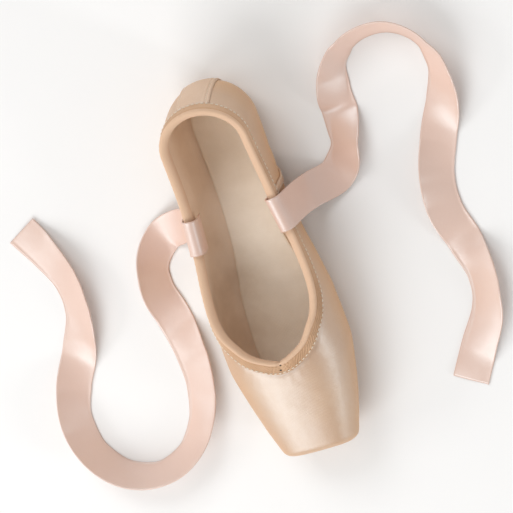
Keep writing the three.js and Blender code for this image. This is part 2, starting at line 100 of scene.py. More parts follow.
# Ties: the middle line's stops over the collar, out and up from its edge, then on the floor
TIE = {
    "width": 22.0, "thickness": 1.0, "station": 84.0, "flat_below": 12.0,
    "lands": 74.0, "lean_per_bend": 38.0, "most_lean": 1.1, "lean_reach": 26.0,
}
TIE_OVER_COLLAR = [
    (-4.4, -14), (-5.3, -7), (-5.6, -2), (-4.6, 1.8), (-1.3, 3.6), (2.2, 2.2),
    (3.6, -2), (4.6, -9), (6.2, -18), (9, -28), (13.5, -35.5),
]
TIE_ON_FLOOR = {
    "left": [
        (80, 57), (68, 67), (50, 71), (31, 73), (13, 80), (2, 95), (1, 115), (12, 131), (31, 138), (53, 134),
        (74, 124), (96, 116), (118, 114), (140, 119), (162, 123), (184, 119), (204, 107), (224, 95),
    ],
    "right": [
        (87, 57), (98, 67), (116, 71), (138, 68), (161, 65), (184, 66), (206, 74), (222, 89), (228, 109),
        (222, 129), (206, 143), (184, 148), (162, 143), (141, 132), (120, 124), (98, 124), (78, 132),
        (60, 142),
    ],
}
SIDES = {"left": 1, "right": -1}


# Curves and the last's surface

def table_curve(keys, values):
    """Smooth curve through a table that never overshoots its rows."""
    keys, values = np.array(keys, float), np.array(values, float)
    steps = np.diff(values) / np.diff(keys)
    before, after = steps[:-1], steps[1:]
    total = np.where(before + after == 0, 1.0, before + after)
    inner = np.where(before * after > 0, 2 * before * after / total, 0.0)
    slopes = np.concatenate([steps[:1], inner, steps[-1:]])

    def curve(at):
        x = np.clip(at, keys[0], keys[-1])
        i = np.clip(np.searchsorted(keys, x) - 1, 0, len(keys) - 2)
        span = keys[i + 1] - keys[i]
        t = (x - keys[i]) / span
        t2, t3 = t * t, t * t * t
        low = (2 * t3 - 3 * t2 + 1) * values[i] + (t3 - 2 * t2 + t) * span * slopes[i]
        high = (3 * t2 - 2 * t3) * values[i + 1] + (t3 - t2) * span * slopes[i + 1]
        return low + high

    return curve


SECTION = {name: table_curve(SECTIONS["station"], row) for name, row in SECTIONS.items()}


def smoothstep(x, low, high):
    t = np.clip((x - low) / (high - low), 0.0, 1.0)
    return t * t * (3 - 2 * t)


def bell(x, width):
    return np.exp(-((x / width) ** 2))


def wave(x, pitch):
    return np.sin(2 * math.pi * x / pitch)


def unit(v):
    return v / np.maximum(np.linalg.norm(v, axis=-1, keepdims=True), 1e-12)


def one_shape(*values):
    """Numbers and arrays as arrays of one shape."""
    return np.broadcast_arrays(*(np.asarray(a, float) for a in values))


def travelled_along(points):
    """Distance along a line of points, at each of them."""
    return np.concatenate([[0], np.cumsum(np.linalg.norm(np.diff(points, axis=0), axis=1))])


def at_distances(distances, travelled, values):
    """Rows of values at distances along a line, between those at its points."""
    return np.stack([np.interp(distances, travelled, column) for column in values.T], -1)


def tip_draw(station):
    """How far the sections draw in where the platform's edge is rounded."""
    left = np.maximum(TIP_ROUND - (LENGTH - station), 0.0)
    return TIP_ROUND - np.sqrt(np.maximum(TIP_ROUND**2 - left**2, 0.0))


def section_point(station, girth, inset):
    """How far out and how high a place of a section is."""
    draw = inset + tip_draw(station)
    half = SECTION["half"](station) - draw
    wide = SECTION["wide"](station)
    crown = SECTION["crown"](station) - draw
    bottom = SECTION["bottom"](station) + draw
    flat = SECTION["flat"](station) - FLAT_TIP_SHARE * tip_draw(station)
    low = np.clip(girth + 1, 0, 1) * math.pi / 2
    high = np.clip(girth, 0, 1) * math.pi / 2
    power = 2 / TOP_ROUNDNESS
    out_side = flat + (half - flat) * np.sin(low)
    up_side = wide - (wide - bottom) * np.cos(low)
    out_top = half * np.maximum(np.cos(high), 0) ** power
    up_top = wide + (crown - wide) * np.sin(high) ** power
    out = np.where(girth <= -1, flat * (girth + 2), np.where(girth <= 0, out_side, out_top))
    up = np.where(girth <= -1, bottom, np.where(girth <= 0, up_side, up_top))
    return out, up


def last_point(run, girth, inset=0.0, side=1.0):
    """Points of the last's surface, in millimetres in the frame's axes. Inset leads inwards."""
    run, girth, inset, side = one_shape(run, girth, inset, side)
    side = np.where(girth > 1, -side, side)
    girth = np.where(girth > 1, 2 - girth, girth)
    station = np.maximum(run, HEEL_RADIUS)
    turn = (station - run) / HEEL_RADIUS
    out, up = section_point(station, girth, inset)
    along = station - out * np.sin(turn)
    lean_share = 1 - smoothstep(along, 0.0, LEAN_FADES_AT)
    rise = np.maximum((up - SECTION["wide"](station)) / HEEL_LEAN_HEIGHT, 0)
    lean = HEEL_LEAN * lean_share * rise**LEAN_POWER
    ramp = np.clip((along - LENGTH) / PLATFORM_RAMP + 1, 0, 1) ** 2
    tilt = math.tan(PLATFORM_TILT) * (up - PLATFORM_HINGE_HEIGHT) * ramp
    return np.stack([along + lean - tilt - ORIGIN_STATION, side * out * np.cos(turn), up], -1)


HEEL_BACK = HEEL_RADIUS - HEEL_RADIUS * math.pi / 2


def girth_at_height(station, height):
    """The girth above the widest place where a section reaches a height."""
    wide = SECTION["wide"](station)
    share = (height - wide) / (SECTION["crown"](station) - wide)
    return np.arcsin(share ** (TOP_ROUNDNESS / 2)) * 2 / math.pi


def girth_at_side(station, aside):
    """The girth above the widest place that is so far aside of the middle."""
    return np.arccos((aside / SECTION["half"](station)) ** (TOP_ROUNDNESS / 2)) * 2 / math.pi


def make_collar_curve():
    """The collar's girth by the root of the distance behind the throat."""
    front, sides = np.array(COLLAR_FRONT["behind"], float), np.array(COLLAR_SIDES["behind"], float)
    girths = np.concatenate([
        girth_at_side(THROAT - front, np.array(COLLAR_FRONT["aside"], float)),
        girth_at_height(THROAT - sides, np.array(COLLAR_SIDES["height"], float)),
    ])
    return table_curve(np.sqrt(np.concatenate([front, sides])), girths)


collar_curve = make_collar_curve()


def collar_girth(run):
    """The girth of the collar's edge at a run."""
    run = np.asarray(run, float)
    ahead = collar_curve(np.sqrt(np.maximum(THROAT - run, 0)))
    round_heel = np.clip(1 - run / HEEL_RADIUS, 0, None)
    height = COLLAR_SIDES["height"][-1] + HEEL_RISE * np.sin(round_heel)
    return np.where(run > HEEL_RADIUS, ahead, girth_at_height(HEEL_RADIUS, height))


def surface_normal(run, girth, side):
    """Outward unit normals of the last's surface."""
    run_step, girth_step = 0.4, 0.004
    run, girth, side = one_shape(run, girth, side)
    ahead = np.minimum(run + run_step, LENGTH)
    by_run = last_point(ahead, girth, 0, side) - last_point(run - run_step, girth, 0, side)
    above, below = (last_point(run, girth + step, 0, side) for step in (girth_step, -girth_step))
    return unit(np.cross(above - below, by_run) * side[..., None])


def wobble(points, size, seed):
    """Smooth uneven field between about -1 and 1: seeded waves of about the given size in millimetres."""
    random = np.random.default_rng(SEED + seed)
    waves, evenness = 9, 1.6
    field = np.zeros(points.shape[:-1])
    for _ in range(waves):
        way = unit(random.normal(size=3))
        pitch = size * random.uniform(0.7, 1.5)
        field += np.sin(points @ way * (2 * math.pi / pitch) + random.uniform(0, 6.28))
    return field / math.sqrt(waves * evenness)


# Walks over the last

def walk_out(run, girth, side, direction, distances):
    """Runs and girths reached by walking over the last, square to a direction, one pair for each distance.
    The distances start near 0, and those above it lead down."""
    step, near_run, near_girth, run_scale, girth_scale = 0.6, 0.5, 0.01, 40.0, 0.3
    places, travelled = [], 0.0

    def slope(run_step, girth_step):
        ahead = last_point(run + run_step, girth + girth_step, 0, side)
        behind = last_point(run - run_step, girth - girth_step, 0, side)
        return (ahead - behind) / (2 * (run_step + girth_step))

    for distance in distances:
        count = max(math.ceil(abs(distance - travelled) / step), 1)
        part = (distance - travelled) / count
        for _ in range(count):
            by_run, by_girth = slope(near_run, 0), slope(0, near_girth)
            go_run = -np.sum(by_girth * direction, -1)
            go_girth = np.sum(by_run * direction, -1)
            flip = np.where(go_run / run_scale - go_girth / girth_scale < 0, -1.0, 1.0)
            go_run, go_girth = go_run * flip, go_girth * flip
            length = np.linalg.norm(by_run * go_run[:, None] + by_girth * go_girth[:, None], axis=-1)
            run, girth = run + go_run / length * part, girth + go_girth / length * part
        travelled = distance
        places.append((run, girth))
    return places


class CollarLoop:
    """Even stops once round the collar's edge: the throat, the left side, the heel, the right side."""

    def __init__(self, spacing):
        samples = 4000
        run = THROAT + (HEEL_BACK - THROAT) * np.linspace(0, 1, samples) ** 2
        travelled = travelled_along(last_point(run, collar_girth(run)))
        self.half_length = travelled[-1]
        count = round(self.half_length / spacing)
        even = np.linspace(0, self.half_length, count + 1)
        one = np.interp(even, travelled, run)
        self.run = np.concatenate([one, one[1:-1][::-1]])
        self.side = np.concatenate([np.ones(count + 1), -np.ones(count - 1)])
        self.distance = np.concatenate([even, 2 * self.half_length - even[1:-1][::-1]])
        self.girth = collar_girth(self.run)
        self.edge = last_point(self.run, self.girth, 0, self.side)
        self.way = unit(np.roll(self.edge, -1, 0) - np.roll(self.edge, 1, 0))

    def levels(self, distances):
        """Runs and girths all round for each distance from the edge over the last. Positive leads down."""
        down = sorted(d for d in distances if d > 0)
        up = sorted((d for d in distances if d <= 0), reverse=True)
        found = {}
        for part in (down, up):
            found.update(zip(part, walk_out(self.run, self.girth, self.side, self.way, part)))
        return found


COLLAR = CollarLoop(0.45)


def nearest_on(points, line):
    """Distance from each point to the nearest stop of a line of points, and that stop's number."""
    flat = points.reshape(-1, 3)
    best, index = np.full(len(flat), 1e9), np.zeros(len(flat), int)
    rows = 4000
    for start in range(0, len(flat), rows):
        part = flat[start:start + rows]
        square = (part**2).sum(1)[:, None] + (line**2).sum(1)[None] - 2 * part @ line.T
        index[start:start + rows] = square.argmin(1)
        best[start:start + rows] = np.sqrt(np.maximum(square.min(1), 0))
    return best.reshape(points.shape[:-1]), index.reshape(points.shape[:-1])


# Meshes

def make_mesh(name, points, faces, weave=None):
    """A mesh object from points in millimetres. Doubled points are joined and faces turned outwards.
    weave gives each point's place in the cloth, in millimetres, for the threads of its material."""
    mesh = bpy.data.meshes.new(name)
    mesh.from_pydata((np.asarray(points).reshape(-1, 3) * MM).tolist(), [], faces)
    mesh.update()
    if weave is not None:
        cloth = mesh.attributes.new("weave", "FLOAT_VECTOR", "POINT")
        cloth.data.foreach_set("vector", np.asarray(weave, np.float32).ravel())
    piece = bpy.data.objects.new(name, mesh)
    bpy.context.scene.collection.objects.link(piece)
    bm = bmesh.new()
    bm.from_mesh(mesh)
    bmesh.ops.remove_doubles(bm, verts=bm.verts, dist=0.002 * MM)
    bmesh.ops.dissolve_degenerate(bm, edges=bm.edges, dist=0.0005 * MM)
    bmesh.ops.recalc_face_normals(bm, faces=bm.faces)
    bm.to_mesh(mesh)
    bm.free()
    mesh.polygons.foreach_set("use_smooth", [True] * len(mesh.polygons))
    mesh.update()
    return piece


def cloth_places(along, across):
    """Places in a cloth for its weave, from grids of both coordinates."""
    return np.stack([along, across, np.zeros_like(along)], -1)


def grid_faces(rows, columns, start=0, close_rows=False, close_columns=False):
    """Faces between neighbours in a grid of points whose first one has the number start."""
    faces = []
    for i in range(rows if close_rows else rows - 1):
        a, b = start + i * columns, start + ((i + 1) % rows) * columns
        for j in range(columns if close_columns else columns - 1):
            k = (j + 1) % columns
            faces.append((a + j, b + j, b + k, a + k))
    return faces


def sheet_mesh(name, outer, inner, weave):
    """A closed sheet between two grids of points of the same size."""
    rows, columns = outer.shape[:2]
    count = rows * columns
    faces = grid_faces(rows, columns)
    faces += [face[::-1] for face in grid_faces(rows, columns, count)]
    for i in range(rows - 1):
        for j in (0, columns - 1):
            a, b = i * columns + j, (i + 1) * columns + j
            faces.append((a, a + count, b + count, b))
    for j in range(columns - 1):
        for i in (0, rows - 1):
            a, b = i * columns + j, i * columns + j + 1
            faces.append((a, b, b + count, a + count))
    return make_mesh(name, [outer, inner], faces, [weave, weave])


def stitch_mesh(name, starts, ends, normals, radius, arch=0.35):
    """Threads, each a small arched bar between its two holes, joined into one piece."""
    around, along = 8, 7
    taper, flatness, sunk = 0.08, 0.8, 0.45
    points, faces = [], []
    angles = np.linspace(0, 2 * math.pi, around, endpoint=False)
    for n, (a, b, up) in enumerate(zip(starts, ends, normals)):
        way = unit(b - a)
        aside = unit(np.cross(up, way))
        up = np.cross(way, aside)
        for k in range(along):
            t = k / (along - 1)
            swell = math.sin(math.pi * (taper + (1 - 2 * taper) * t)) ** 0.5
            centre = a + (b - a) * t + up * radius * (arch * math.sin(math.pi * t) * 2 - sunk)
            ring = np.cos(angles)[:, None] * aside + np.sin(angles)[:, None] * up * flatness
            points.append(centre + ring * radius * swell)
        base = n * around * along
        faces += grid_faces(along, around, base, False, True)
        for end in (base, base + (along - 1) * around):
            faces.append(tuple(range(end, end + around)))
    return make_mesh(name, points, faces)


def stitches_along(line, normals, closed, pitch, length):
    """Start, end and normal of each stitch along a line of points."""
    if closed:
        line, normals = np.concatenate([line, line[:1]]), np.concatenate([normals, normals[:1]])
    travelled = travelled_along(line)
    count = max(round(travelled[-1] / pitch), 1)
    first = (np.arange(count) + (1 - length / pitch) / 2) * travelled[-1] / count
    middle = unit(at_distances(first + length / 2, travelled, normals))
    return at_distances(first, travelled, line), at_distances(first + length, travelled, line), middle


def row_over(run, girth, side, height):
    """An open row to sew at a height over the last: its points, their normals, and no for closed."""
    normals = surface_normal(run, girth, side)
    return last_point(run, girth, 0, side) + normals * height, normals, False


def sew(name, rows, pitch, length, radius, arch=0.35):
    """Stitches along all rows, as one piece."""
    found = [stitches_along(*row, pitch, length) for row in rows]
    return stitch_mesh(name, *map(np.concatenate, zip(*found)), radius, arch)


# The upper

OPENING = {"start": 24.0, "end": 204.0, "margin": -7.0, "heel_round": 8.0, "toe_round": 12.0, "blunt": 0.3}


def outline_half(shape, station):
    """Half width of a sole-like outline: it follows the last's flat underside and is rounded at both ends."""
    from_heel = np.clip((station - shape["start"]) / shape["heel_round"], 0, 1)
    from_toe = np.clip((shape["end"] - station) / shape["toe_round"], 0, 1)

    def roundness(share):
        return shape["blunt"] + (1 - shape["blunt"]) * np.sqrt(1 - (1 - share) ** 2)

    return (SECTION["flat"](station) + shape["margin"]) * roundness(from_heel) * roundness(from_toe)


def girth_at_out(station, out):
    """The girth on the underside or the lower side where a section is that far from the middle line."""
    flat = SECTION["flat"](station) - FLAT_TIP_SHARE * tip_draw(station)
    half = SECTION["half"](station) - tip_draw(station)
    low = np.arcsin(np.clip((out - flat) / (half - flat), 0, 1))
    return np.where(out <= flat, out / flat - 2, low * 2 / math.pi - 1)


def upper_runs():
    """Runs of the upper's columns, closest together where the collar's front crosses them."""
    close, ahead = 24.0, 8.0
    heel = np.linspace(HEEL_BACK, HEEL_RADIUS, 40)
    back = np.linspace(HEEL_RADIUS, THROAT - close, 108)
    throat = THROAT - close * np.linspace(1, 0, 27) ** 2
    front = THROAT + ahead * np.linspace(0, 1, 12) ** 2
    vamp = np.linspace(THROAT + ahead, LENGTH - TIP_ROUND, 50)
    tip = LENGTH - TIP_ROUND + TIP_ROUND * np.sin(np.linspace(0, math.pi / 2, 9))
    return np.concatenate([heel, back[1:], throat[1:], front[1:], vamp[1:], tip[1:]])


def low_girth(run):
    """The girth where the upper ends under the sole, or the middle line where it closes."""
    station = np.maximum(run, HEEL_RADIUS)
    out = np.where(station < OPENING["end"], outline_half(OPENING, station), 0.0)
    turn = np.clip((HEEL_RADIUS - run) / HEEL_RADIUS, 0, None)
    back_edge = HEEL_RADIUS - OPENING["start"]
    out = out * np.cos(turn) ** 2 + back_edge * np.sin(turn) ** 2
    return out / SECTION["flat"](station) - 2


# Rows of the upper's mesh: one row runs along the fold's step, and turns out to the flat's edge behind it
FOLD_ROWS = 11
SIDE_ROWS = 66
FOLD_STEP = 0.35
FOLD_ROWS_TURN = (190, 204)
FLAT_MARGIN = 3


def upper_girths(runs):
    """Girths of every row at every run: the underside to the fold's step, then even steps to the top."""
    girths = []
    for run in runs:
        station = max(run, HEEL_RADIUS)
        low = float(low_girth(run))
        flat = float(SECTION["flat"](station))
        behind_fold = float(1 - smoothstep(station, *FOLD_ROWS_TURN))
        split = FOLD["half_width"] + (flat - FLAT_MARGIN - FOLD["half_width"]) * behind_fold
        under = np.linspace(low, float(girth_at_out(station, split - FOLD_STEP)), FOLD_ROWS)
        first = float(girth_at_out(station, split))
        top = 1.0 if run >= THROAT else float(collar_girth(run))
        fine = np.linspace(first, top, 240)
        travelled = travelled_along(last_point(run, fine))
        even = np.interp(np.linspace(0, travelled[-1], SIDE_ROWS), travelled, fine)
        girths.append(np.concatenate([under, even]))
    return np.array(girths)


# Creases: station and girth of both ends, then depth and width. A negative depth stands up
CREASES = {
    "left": [
        (229.0, -0.95, 223.5, -0.34, -0.42, 1.5), (231.2, -0.9, 227.6, -0.2, 0.36, 1.2),
        (233.0, -0.75, 231.0, -0.02, 0.28, 1.0), (225.4, -0.95, 218.0, -0.42, 0.3, 1.4),
        (206.0, -0.88, 203.5, 0.02, 0.2, 0.9), (221.0, -0.92, 213.0, -0.6, 0.18, 1.3),
        (150.0, -0.8, 133.0, -0.35, 0.34, 2.4), (58.0, -0.55, 40.0, -0.1, 0.34, 2.6),
        (92.0, -0.62, 108.0, -0.22, 0.34, 2.4),
    ],
    "right": [
        (230.0, -0.93, 225.5, -0.3, -0.38, 1.4), (232.0, -0.85, 229.0, -0.12, 0.32, 1.1),
        (226.5, -0.95, 219.5, -0.46, 0.34, 1.4), (233.6, -0.6, 232.6, 0.06, 0.22, 0.9),
        (209.0, -0.9, 207.0, 0.0, 0.16, 0.9), (217.0, -0.93, 209.0, -0.55, 0.16, 1.4),
        (146.0, -0.78, 128.0, -0.3, 0.32, 2.4), (54.0, -0.6, 36.0, -0.12, 0.36, 2.6),
        (98.0, -0.6, 114.0, -0.25, 0.32, 2.4),
    ],
}


def crease_relief(points, side_name):
    """Soft bowed troughs with a low ridge ahead of each."""
    relief = np.zeros(points.shape[:-1])
    share = np.linspace(0, 1, 60)
    bow = 1.6 * np.sin(math.pi * share)
    for run_a, girth_a, run_b, girth_b, depth, width in CREASES[side_name]:
        run, girth = run_a + (run_b - run_a) * share + bow, girth_a + (girth_b - girth_a) * share
        line = last_point(run, girth, 0, SIDES[side_name])
        away, stop = nearest_on(points, line)
        ends = np.sin(math.pi * np.clip(share[stop], 0.02, 0.98)) ** 0.7
        ahead = (points[..., 0] - line[stop][..., 0]) > 0
        trough = -depth * bell(away, width)
        ridge = 0.45 * depth * bell(away - 2.1 * width, width) * ahead
        relief += (trough + ridge) * ends
    return relief


# Unevenness of the cloths: height, size and seed of each of its waves
SATIN_DRIFT = ((0.13, 34, 1), (0.05, 11, 2))
LINING_DRIFT = ((0.16, 22, 22), (0.07, 8, 23))
COLLAR_GATHERS = {"pitch": 4.3, "height": 0.03, "throat": 0.09, "throat_reach": 55, "fade": 5}
SOLE_GATHERS = {"pitch": 5.2, "height": 0.19, "fade": 0.22}
BINDING_GROOVE = {"depth": 0.32, "distance": 7.7, "width": 1.3}
FOLD_LIP = {"height": 0.12, "slope": 14, "width": 1.2}


def uneven(points, drift):
    """Sum of wobbles."""
    return sum(height * wobble(points, size, seed) for height, size, seed in drift)


def satin_relief(run, girth, side_name, points):
    """Height of the satin over the last, in millimetres."""
    station = np.maximum(run, HEEL_RADIUS)
    from_edge, stop = nearest_on(points, COLLAR.edge)
    edge_way = COLLAR.distance[stop]

    loose = uneven(points, SATIN_DRIFT) + crease_relief(points, side_name)
    gathers = COLLAR_GATHERS
    near_throat = bell(np.minimum(edge_way, 2 * COLLAR.half_length - edge_way), gathers["throat_reach"])
    height = gathers["height"] + gathers["throat"] * near_throat
    at_collar = np.exp(-np.maximum(from_edge - BINDING_DEPTH, 0) / gathers["fade"])
    folds = wave(edge_way + 0.8 * wobble(points, 15, 3), gathers["pitch"])
    loose = loose + height * at_collar * folds
    gathers = SOLE_GATHERS
    above_sole = girth - GIRTH_AT_SOLE
    height = gathers["height"] * np.clip(0.55 + 0.6 * wobble(points, 24, 5), 0.1, 1.3)
    at_sole = smoothstep(girth, -1.02, GIRTH_AT_SOLE) * np.exp(-np.maximum(above_sole, 0) / gathers["fade"])
    folds = wave(run + 2.6 * wobble(points, 26, 4), gathers["pitch"])
    loose = loose + height * at_sole * folds

    # The satin lies smooth under the sole's edge and under what is sewn over it
    tape_way = TAPE["bottom"] + (TAPE["top"] - TAPE["bottom"]) * np.clip(above_sole / 1.2, 0, 1)
    heel_way = np.abs(points[..., 1]) + 40 * (run > 0)
    free = smoothstep(from_edge, 6.8, 10.0) * smoothstep(girth, -1.1, -0.9)
    free = free * smoothstep(np.abs(run - tape_way), 2.6, 6.0) * smoothstep(heel_way, 10.5, 14.0)
    groove = BINDING_GROOVE["depth"] * bell(from_edge - BINDING_GROOVE["distance"], BINDING_GROOVE["width"])
    relief = loose * free - groove * (from_edge > 5)

    # Between the folded edges under the toe it lies lower
    fold_girth = girth_at_out(station, np.full_like(station, FOLD["half_width"]))
    inside = girth < fold_girth - 1e-6
    panel = inside * smoothstep(station, FOLD["start"], FOLD["start"] + 6)
    panel = panel * (1 - smoothstep(station, LENGTH - TIP_ROUND, LENGTH - 0.4))
    lip = FOLD_LIP["height"] * bell((girth - fold_girth) * FOLD_LIP["slope"], FOLD_LIP["width"]) * ~inside
    return relief - FOLD["depth"] * panel + lip * smoothstep(station, 206, 212)


def cap_columns(rim, bulge, steps):
    """Columns that close a rim over the platform, a little domed."""
    middle = (rim[:1] + rim[-1:]) / 2
    outward = np.array([math.cos(PLATFORM_TILT), 0, math.sin(PLATFORM_TILT)])
    shares = np.cos(np.linspace(0, math.pi / 2, steps + 1))[1:]
    return [middle + (rim - middle) * share + outward * bulge * (1 - share**2) for share in shares]


CAP_STEPS = 12


def shell_points(runs, girths, side_name, inset, tip, relief=None, bulge=0.0):
    """One side of a face of the upper: a grid over the last to its tip, then columns over the platform."""
    side = SIDES[side_name]
    run = np.minimum(np.repeat(runs[:, None], girths.shape[1], 1), tip)
    points = last_point(run, girths, inset, side)
    if relief is not None:
        base = last_point(run, girths, 0, side)
        points = points + surface_normal(run, girths, side) * relief(run, girths, side_name, base)[..., None]
    return np.concatenate([points, np.stack(cap_columns(points[-1], bulge, CAP_STEPS))])


def section_arcs(runs, girths):
    """Distance round each section from its crown, in millimetres: the weave's second coordinate."""
    arcs = []
    fine = np.linspace(-2, 1, 400)
    for run, row in zip(runs, girths):
        travelled = travelled_along(last_point(run, fine))
        arcs.append(travelled[-1] - np.interp(row, fine, travelled))
    return np.array(arcs)


def shell_weave(runs, girths, points):
    """Places in the cloth: along and round the shoe, level on the platform, square under the folded edges."""
    count = len(runs)
    along = np.repeat(runs[:, None], girths.shape[1], 1)
    aside = points[:count, :, 1]
    under = np.arange(girths.shape[1]) < FOLD_ROWS
    round_it = np.where(under, aside, section_arcs(runs, girths) * np.where(aside < 0, -1, 1))
    cap = points[count:]
    cap_along = LENGTH + points[count - 1, -1, 2] - cap[..., 2]
    return cloth_places(np.concatenate([along, cap_along]), np.concatenate([round_it, cap[..., 1]]))


def shell_mesh(name, outer, inner, runs, girths):
    """One closed sheet over both sides, open at the collar and underneath: two grids for each side."""
    columns, rows = outer["left"].shape[:2]
    count = columns * rows
    stations = np.concatenate([runs, np.full(CAP_STEPS, LENGTH + 1)])
    open_edges = ((0, stations < OPENING["end"]), (rows - 1, stations <= THROAT))
    points, faces, weave = [], [], []
    for side_name in SIDES:
        base = len(points) * count
        points += [outer[side_name], inner[side_name]]
        weave += [shell_weave(runs, girths, outer[side_name])] * 2
        faces += grid_faces(columns, rows, base)
        faces += [face[::-1] for face in grid_faces(columns, rows, base + count)]
        for i in range(columns - 1):
            for j, is_open in open_edges:
                if is_open[i] and is_open[i + 1]:
                    a, b = base + i * rows + j, base + (i + 1) * rows + j
                    faces.append((a, a + count, b + count, b))
    return make_mesh(name, points, faces, weave)


# Depths of the cloths' backs under the last's surface, and how far behind the platform they end
SATIN_BACK = {"inset": 1.2, "behind_tip": 1.6}
LINING_BACK = {"inset": 1.5, "behind_tip": 2.0}


def build_upper():
    runs = upper_runs()
    girths = upper_girths(runs)
    back, tip = SATIN_BACK["inset"], LENGTH - SATIN_BACK["behind_tip"]
    outer = {s: shell_points(runs, girths, s, 0.0, LENGTH, satin_relief, 0.5) for s in SIDES}
    inner = {s: shell_points(runs, girths, s, back, tip) for s in SIDES}
    return shell_mesh("upper_satin", outer, inner, runs, girths)


BOX_EDGE = {"station": 118, "further_low": 26, "step": 0.5, "slope": 1.2}


def lining_relief(run, girth, _, points):
    """The lining lies over the box's stiffening, whose edge shows as a low step, and wrinkles a little."""
    low = BOX_EDGE["further_low"] * np.clip(-girth, -0.4, 1)
    edge = BOX_EDGE["station"] + low + 3 * wobble(points, 40, 21)
    step = BOX_EDGE["step"] * smoothstep(run, edge - BOX_EDGE["slope"], edge + BOX_EDGE["slope"])
    return -step - uneven(points, LINING_DRIFT) * smoothstep(girth, -1.0, -0.8)


def build_lining():
    runs = upper_runs()[::2]
    girths = upper_girths(runs)
    back, tip = LINING_BACK["inset"], LENGTH - LINING_BACK["behind_tip"]
    face = {s: shell_points(runs, girths, s, WALL, LENGTH - TIP_WALL, lining_relief) for s in SIDES}
    outer = {s: shell_points(runs, girths, s, back, tip) for s in SIDES}
    return shell_mesh("lining", outer, face, runs, girths)


# The collar's binding

# Round the binding's section: distance down from the collar's edge, and inset under the last's surface
# The band outside comes first, then the groove at the fold, the rolled rim, and the part inside
BINDING_PROFILE = [
    (7.0, -0.34), (7.1, -0.7), (6.95, -1.0), (6.5, -1.14), (5.8, -1.2), (5.0, -1.22), (4.2, -1.24),
    (3.5, -1.28), (2.6, -1.36), (1.9, -1.4), (1.45, -1.28), (1.15, -1.02), (0.85, -1.34), (0.3, -1.68),
    (-0.5, -1.5), (-1.3, -0.75), (-1.7, 0.3), (-1.8, 1.3), (-1.7, 2.2), (-1.1, 3.4), (0.2, 4.1),
    (1.6, 4.15), (3.2, 3.8), (4.5, 3.66), (5.0, 3.4), (5.0, 2.8), (2.5, 2.72), (-0.3, 2.7), (-0.35, 1.2),
    (-0.3, -0.3), (3.5, -0.3),
]
BINDING_FOLD = 1.15
PUCKER = {"pitch": 1.95, "height": 0.07, "throat": 0.27, "rim_pitch": 4.4, "rim": 0.05}
BINDING_STITCH = {"level": 6.25, "inset": -1.22, "pitch": 2.9, "length": 2.0, "radius": 0.36}
NOTCH_WIDTH = 1.15
NOTCH_HOLES = ((1.2, -0.8, 1), (4.4, -0.9, -1))


def smooth_closed(rows, parts):
    """A closed Catmull-Rom curve through rows of numbers, with that many steps between two of them."""
    rows = np.array(rows, float)
    made = []
    for i in range(len(rows)):
        p0, p1, p2, p3 = (rows[(i + k) % len(rows)] for k in (-1, 0, 1, 2))
        for t in np.arange(parts) / parts:
            square = (2 * p0 - 5 * p1 + 4 * p2 - p3) * t**2
            cube = (3 * p1 - p0 - 3 * p2 + p3) * t**3
            made.append(0.5 * (2 * p1 + (p2 - p0) * t + square + cube))
    return np.array(made)


def loop_distance(distance):
    """Distance from the throat round the collar, above 0 on the left side and below it on the right."""
    return np.where(distance > COLLAR.half_length, distance - 2 * COLLAR.half_length, distance)


def binding_relief(down, inset, signed):
    """How much thicker the binding is at a place of its profile and loop."""
    outside = inset < 0.8
    below_fold = smoothstep(down, BINDING_FOLD, BINDING_FOLD + 0.9)
    band = below_fold * (1 - smoothstep(down, 6.4, BINDING_DEPTH)) * outside
    rim = (1 - smoothstep(down, BINDING_FOLD - 1, BINDING_FOLD)) * outside
    # The tape puckers most at the throat, and there more on the left side
    throat = bell(signed - 22, 46) + 0.5 * bell(signed + 20, 26)
    slant = np.abs(signed) + 1.1 * down
    pucker = wave(slant + 0.35 * np.sin(signed * 0.9), PUCKER["pitch"])
    rim_pucker = wave(signed + 0.7 * np.sin(signed * 0.5), PUCKER["rim_pitch"])
    height = band * (PUCKER["height"] + PUCKER["throat"] * throat) * pucker + rim * PUCKER["rim"] * rim_pucker
    channel = 0.2 * bell(down - BINDING_STITCH["level"], 0.45) * outside
    fan = np.abs(signed) - 0.25 * down
    gathers = 0.3 * bell(fan - 2.6, 2.0) * wave(fan, 1.7) * outside * smoothstep(down, 0, 2)
    return height - channel + gathers


def build_binding():
    """Rings of the profile round the collar, pinched thin and low at the notch."""
    profile = smooth_closed(BINDING_PROFILE, 2).round(4)
    pinched = np.stack([np.clip(profile[:, 0], -0.5, None), np.clip(profile[:, 1], -0.55, 2.9)], -1)
    levels = COLLAR.levels(set(profile[:, 0]) | set(pinched[:, 0]))
    signed = loop_distance(COLLAR.distance)
    notch = 1.5 * bell(signed, NOTCH_WIDTH) - 0.5 * bell(signed, 0.5 * NOTCH_WIDTH)
    rings = []
    for (down, inset), (low_down, low_inset) in zip(profile, pinched):
        thick = binding_relief(down, inset, signed)
        points = last_point(*levels[down], inset - thick, COLLAR.side)
        core = last_point(*levels[low_down], low_inset, COLLAR.side)
        pinch = (0.92 - 0.055 * max(down, 0)) * notch[:, None]
        rings.append(points * (1 - pinch) + core * pinch)
    along, across = np.meshgrid(COLLAR.distance, profile[:, 0], indexing="ij")
    faces = grid_faces(*along.shape, 0, True, True)
    return make_mesh("collar_binding_cloth", np.stack(rings, 1), faces, cloth_places(along, across))


def build_binding_stitches():
    level, inset, *sizes = BINDING_STITCH.values()
    run, girth = COLLAR.levels([level])[level]
    line = last_point(run, girth, inset, COLLAR.side)
    return sew("binding_stitches", [(line, surface_normal(run, girth, COLLAR.side), True)], *sizes)


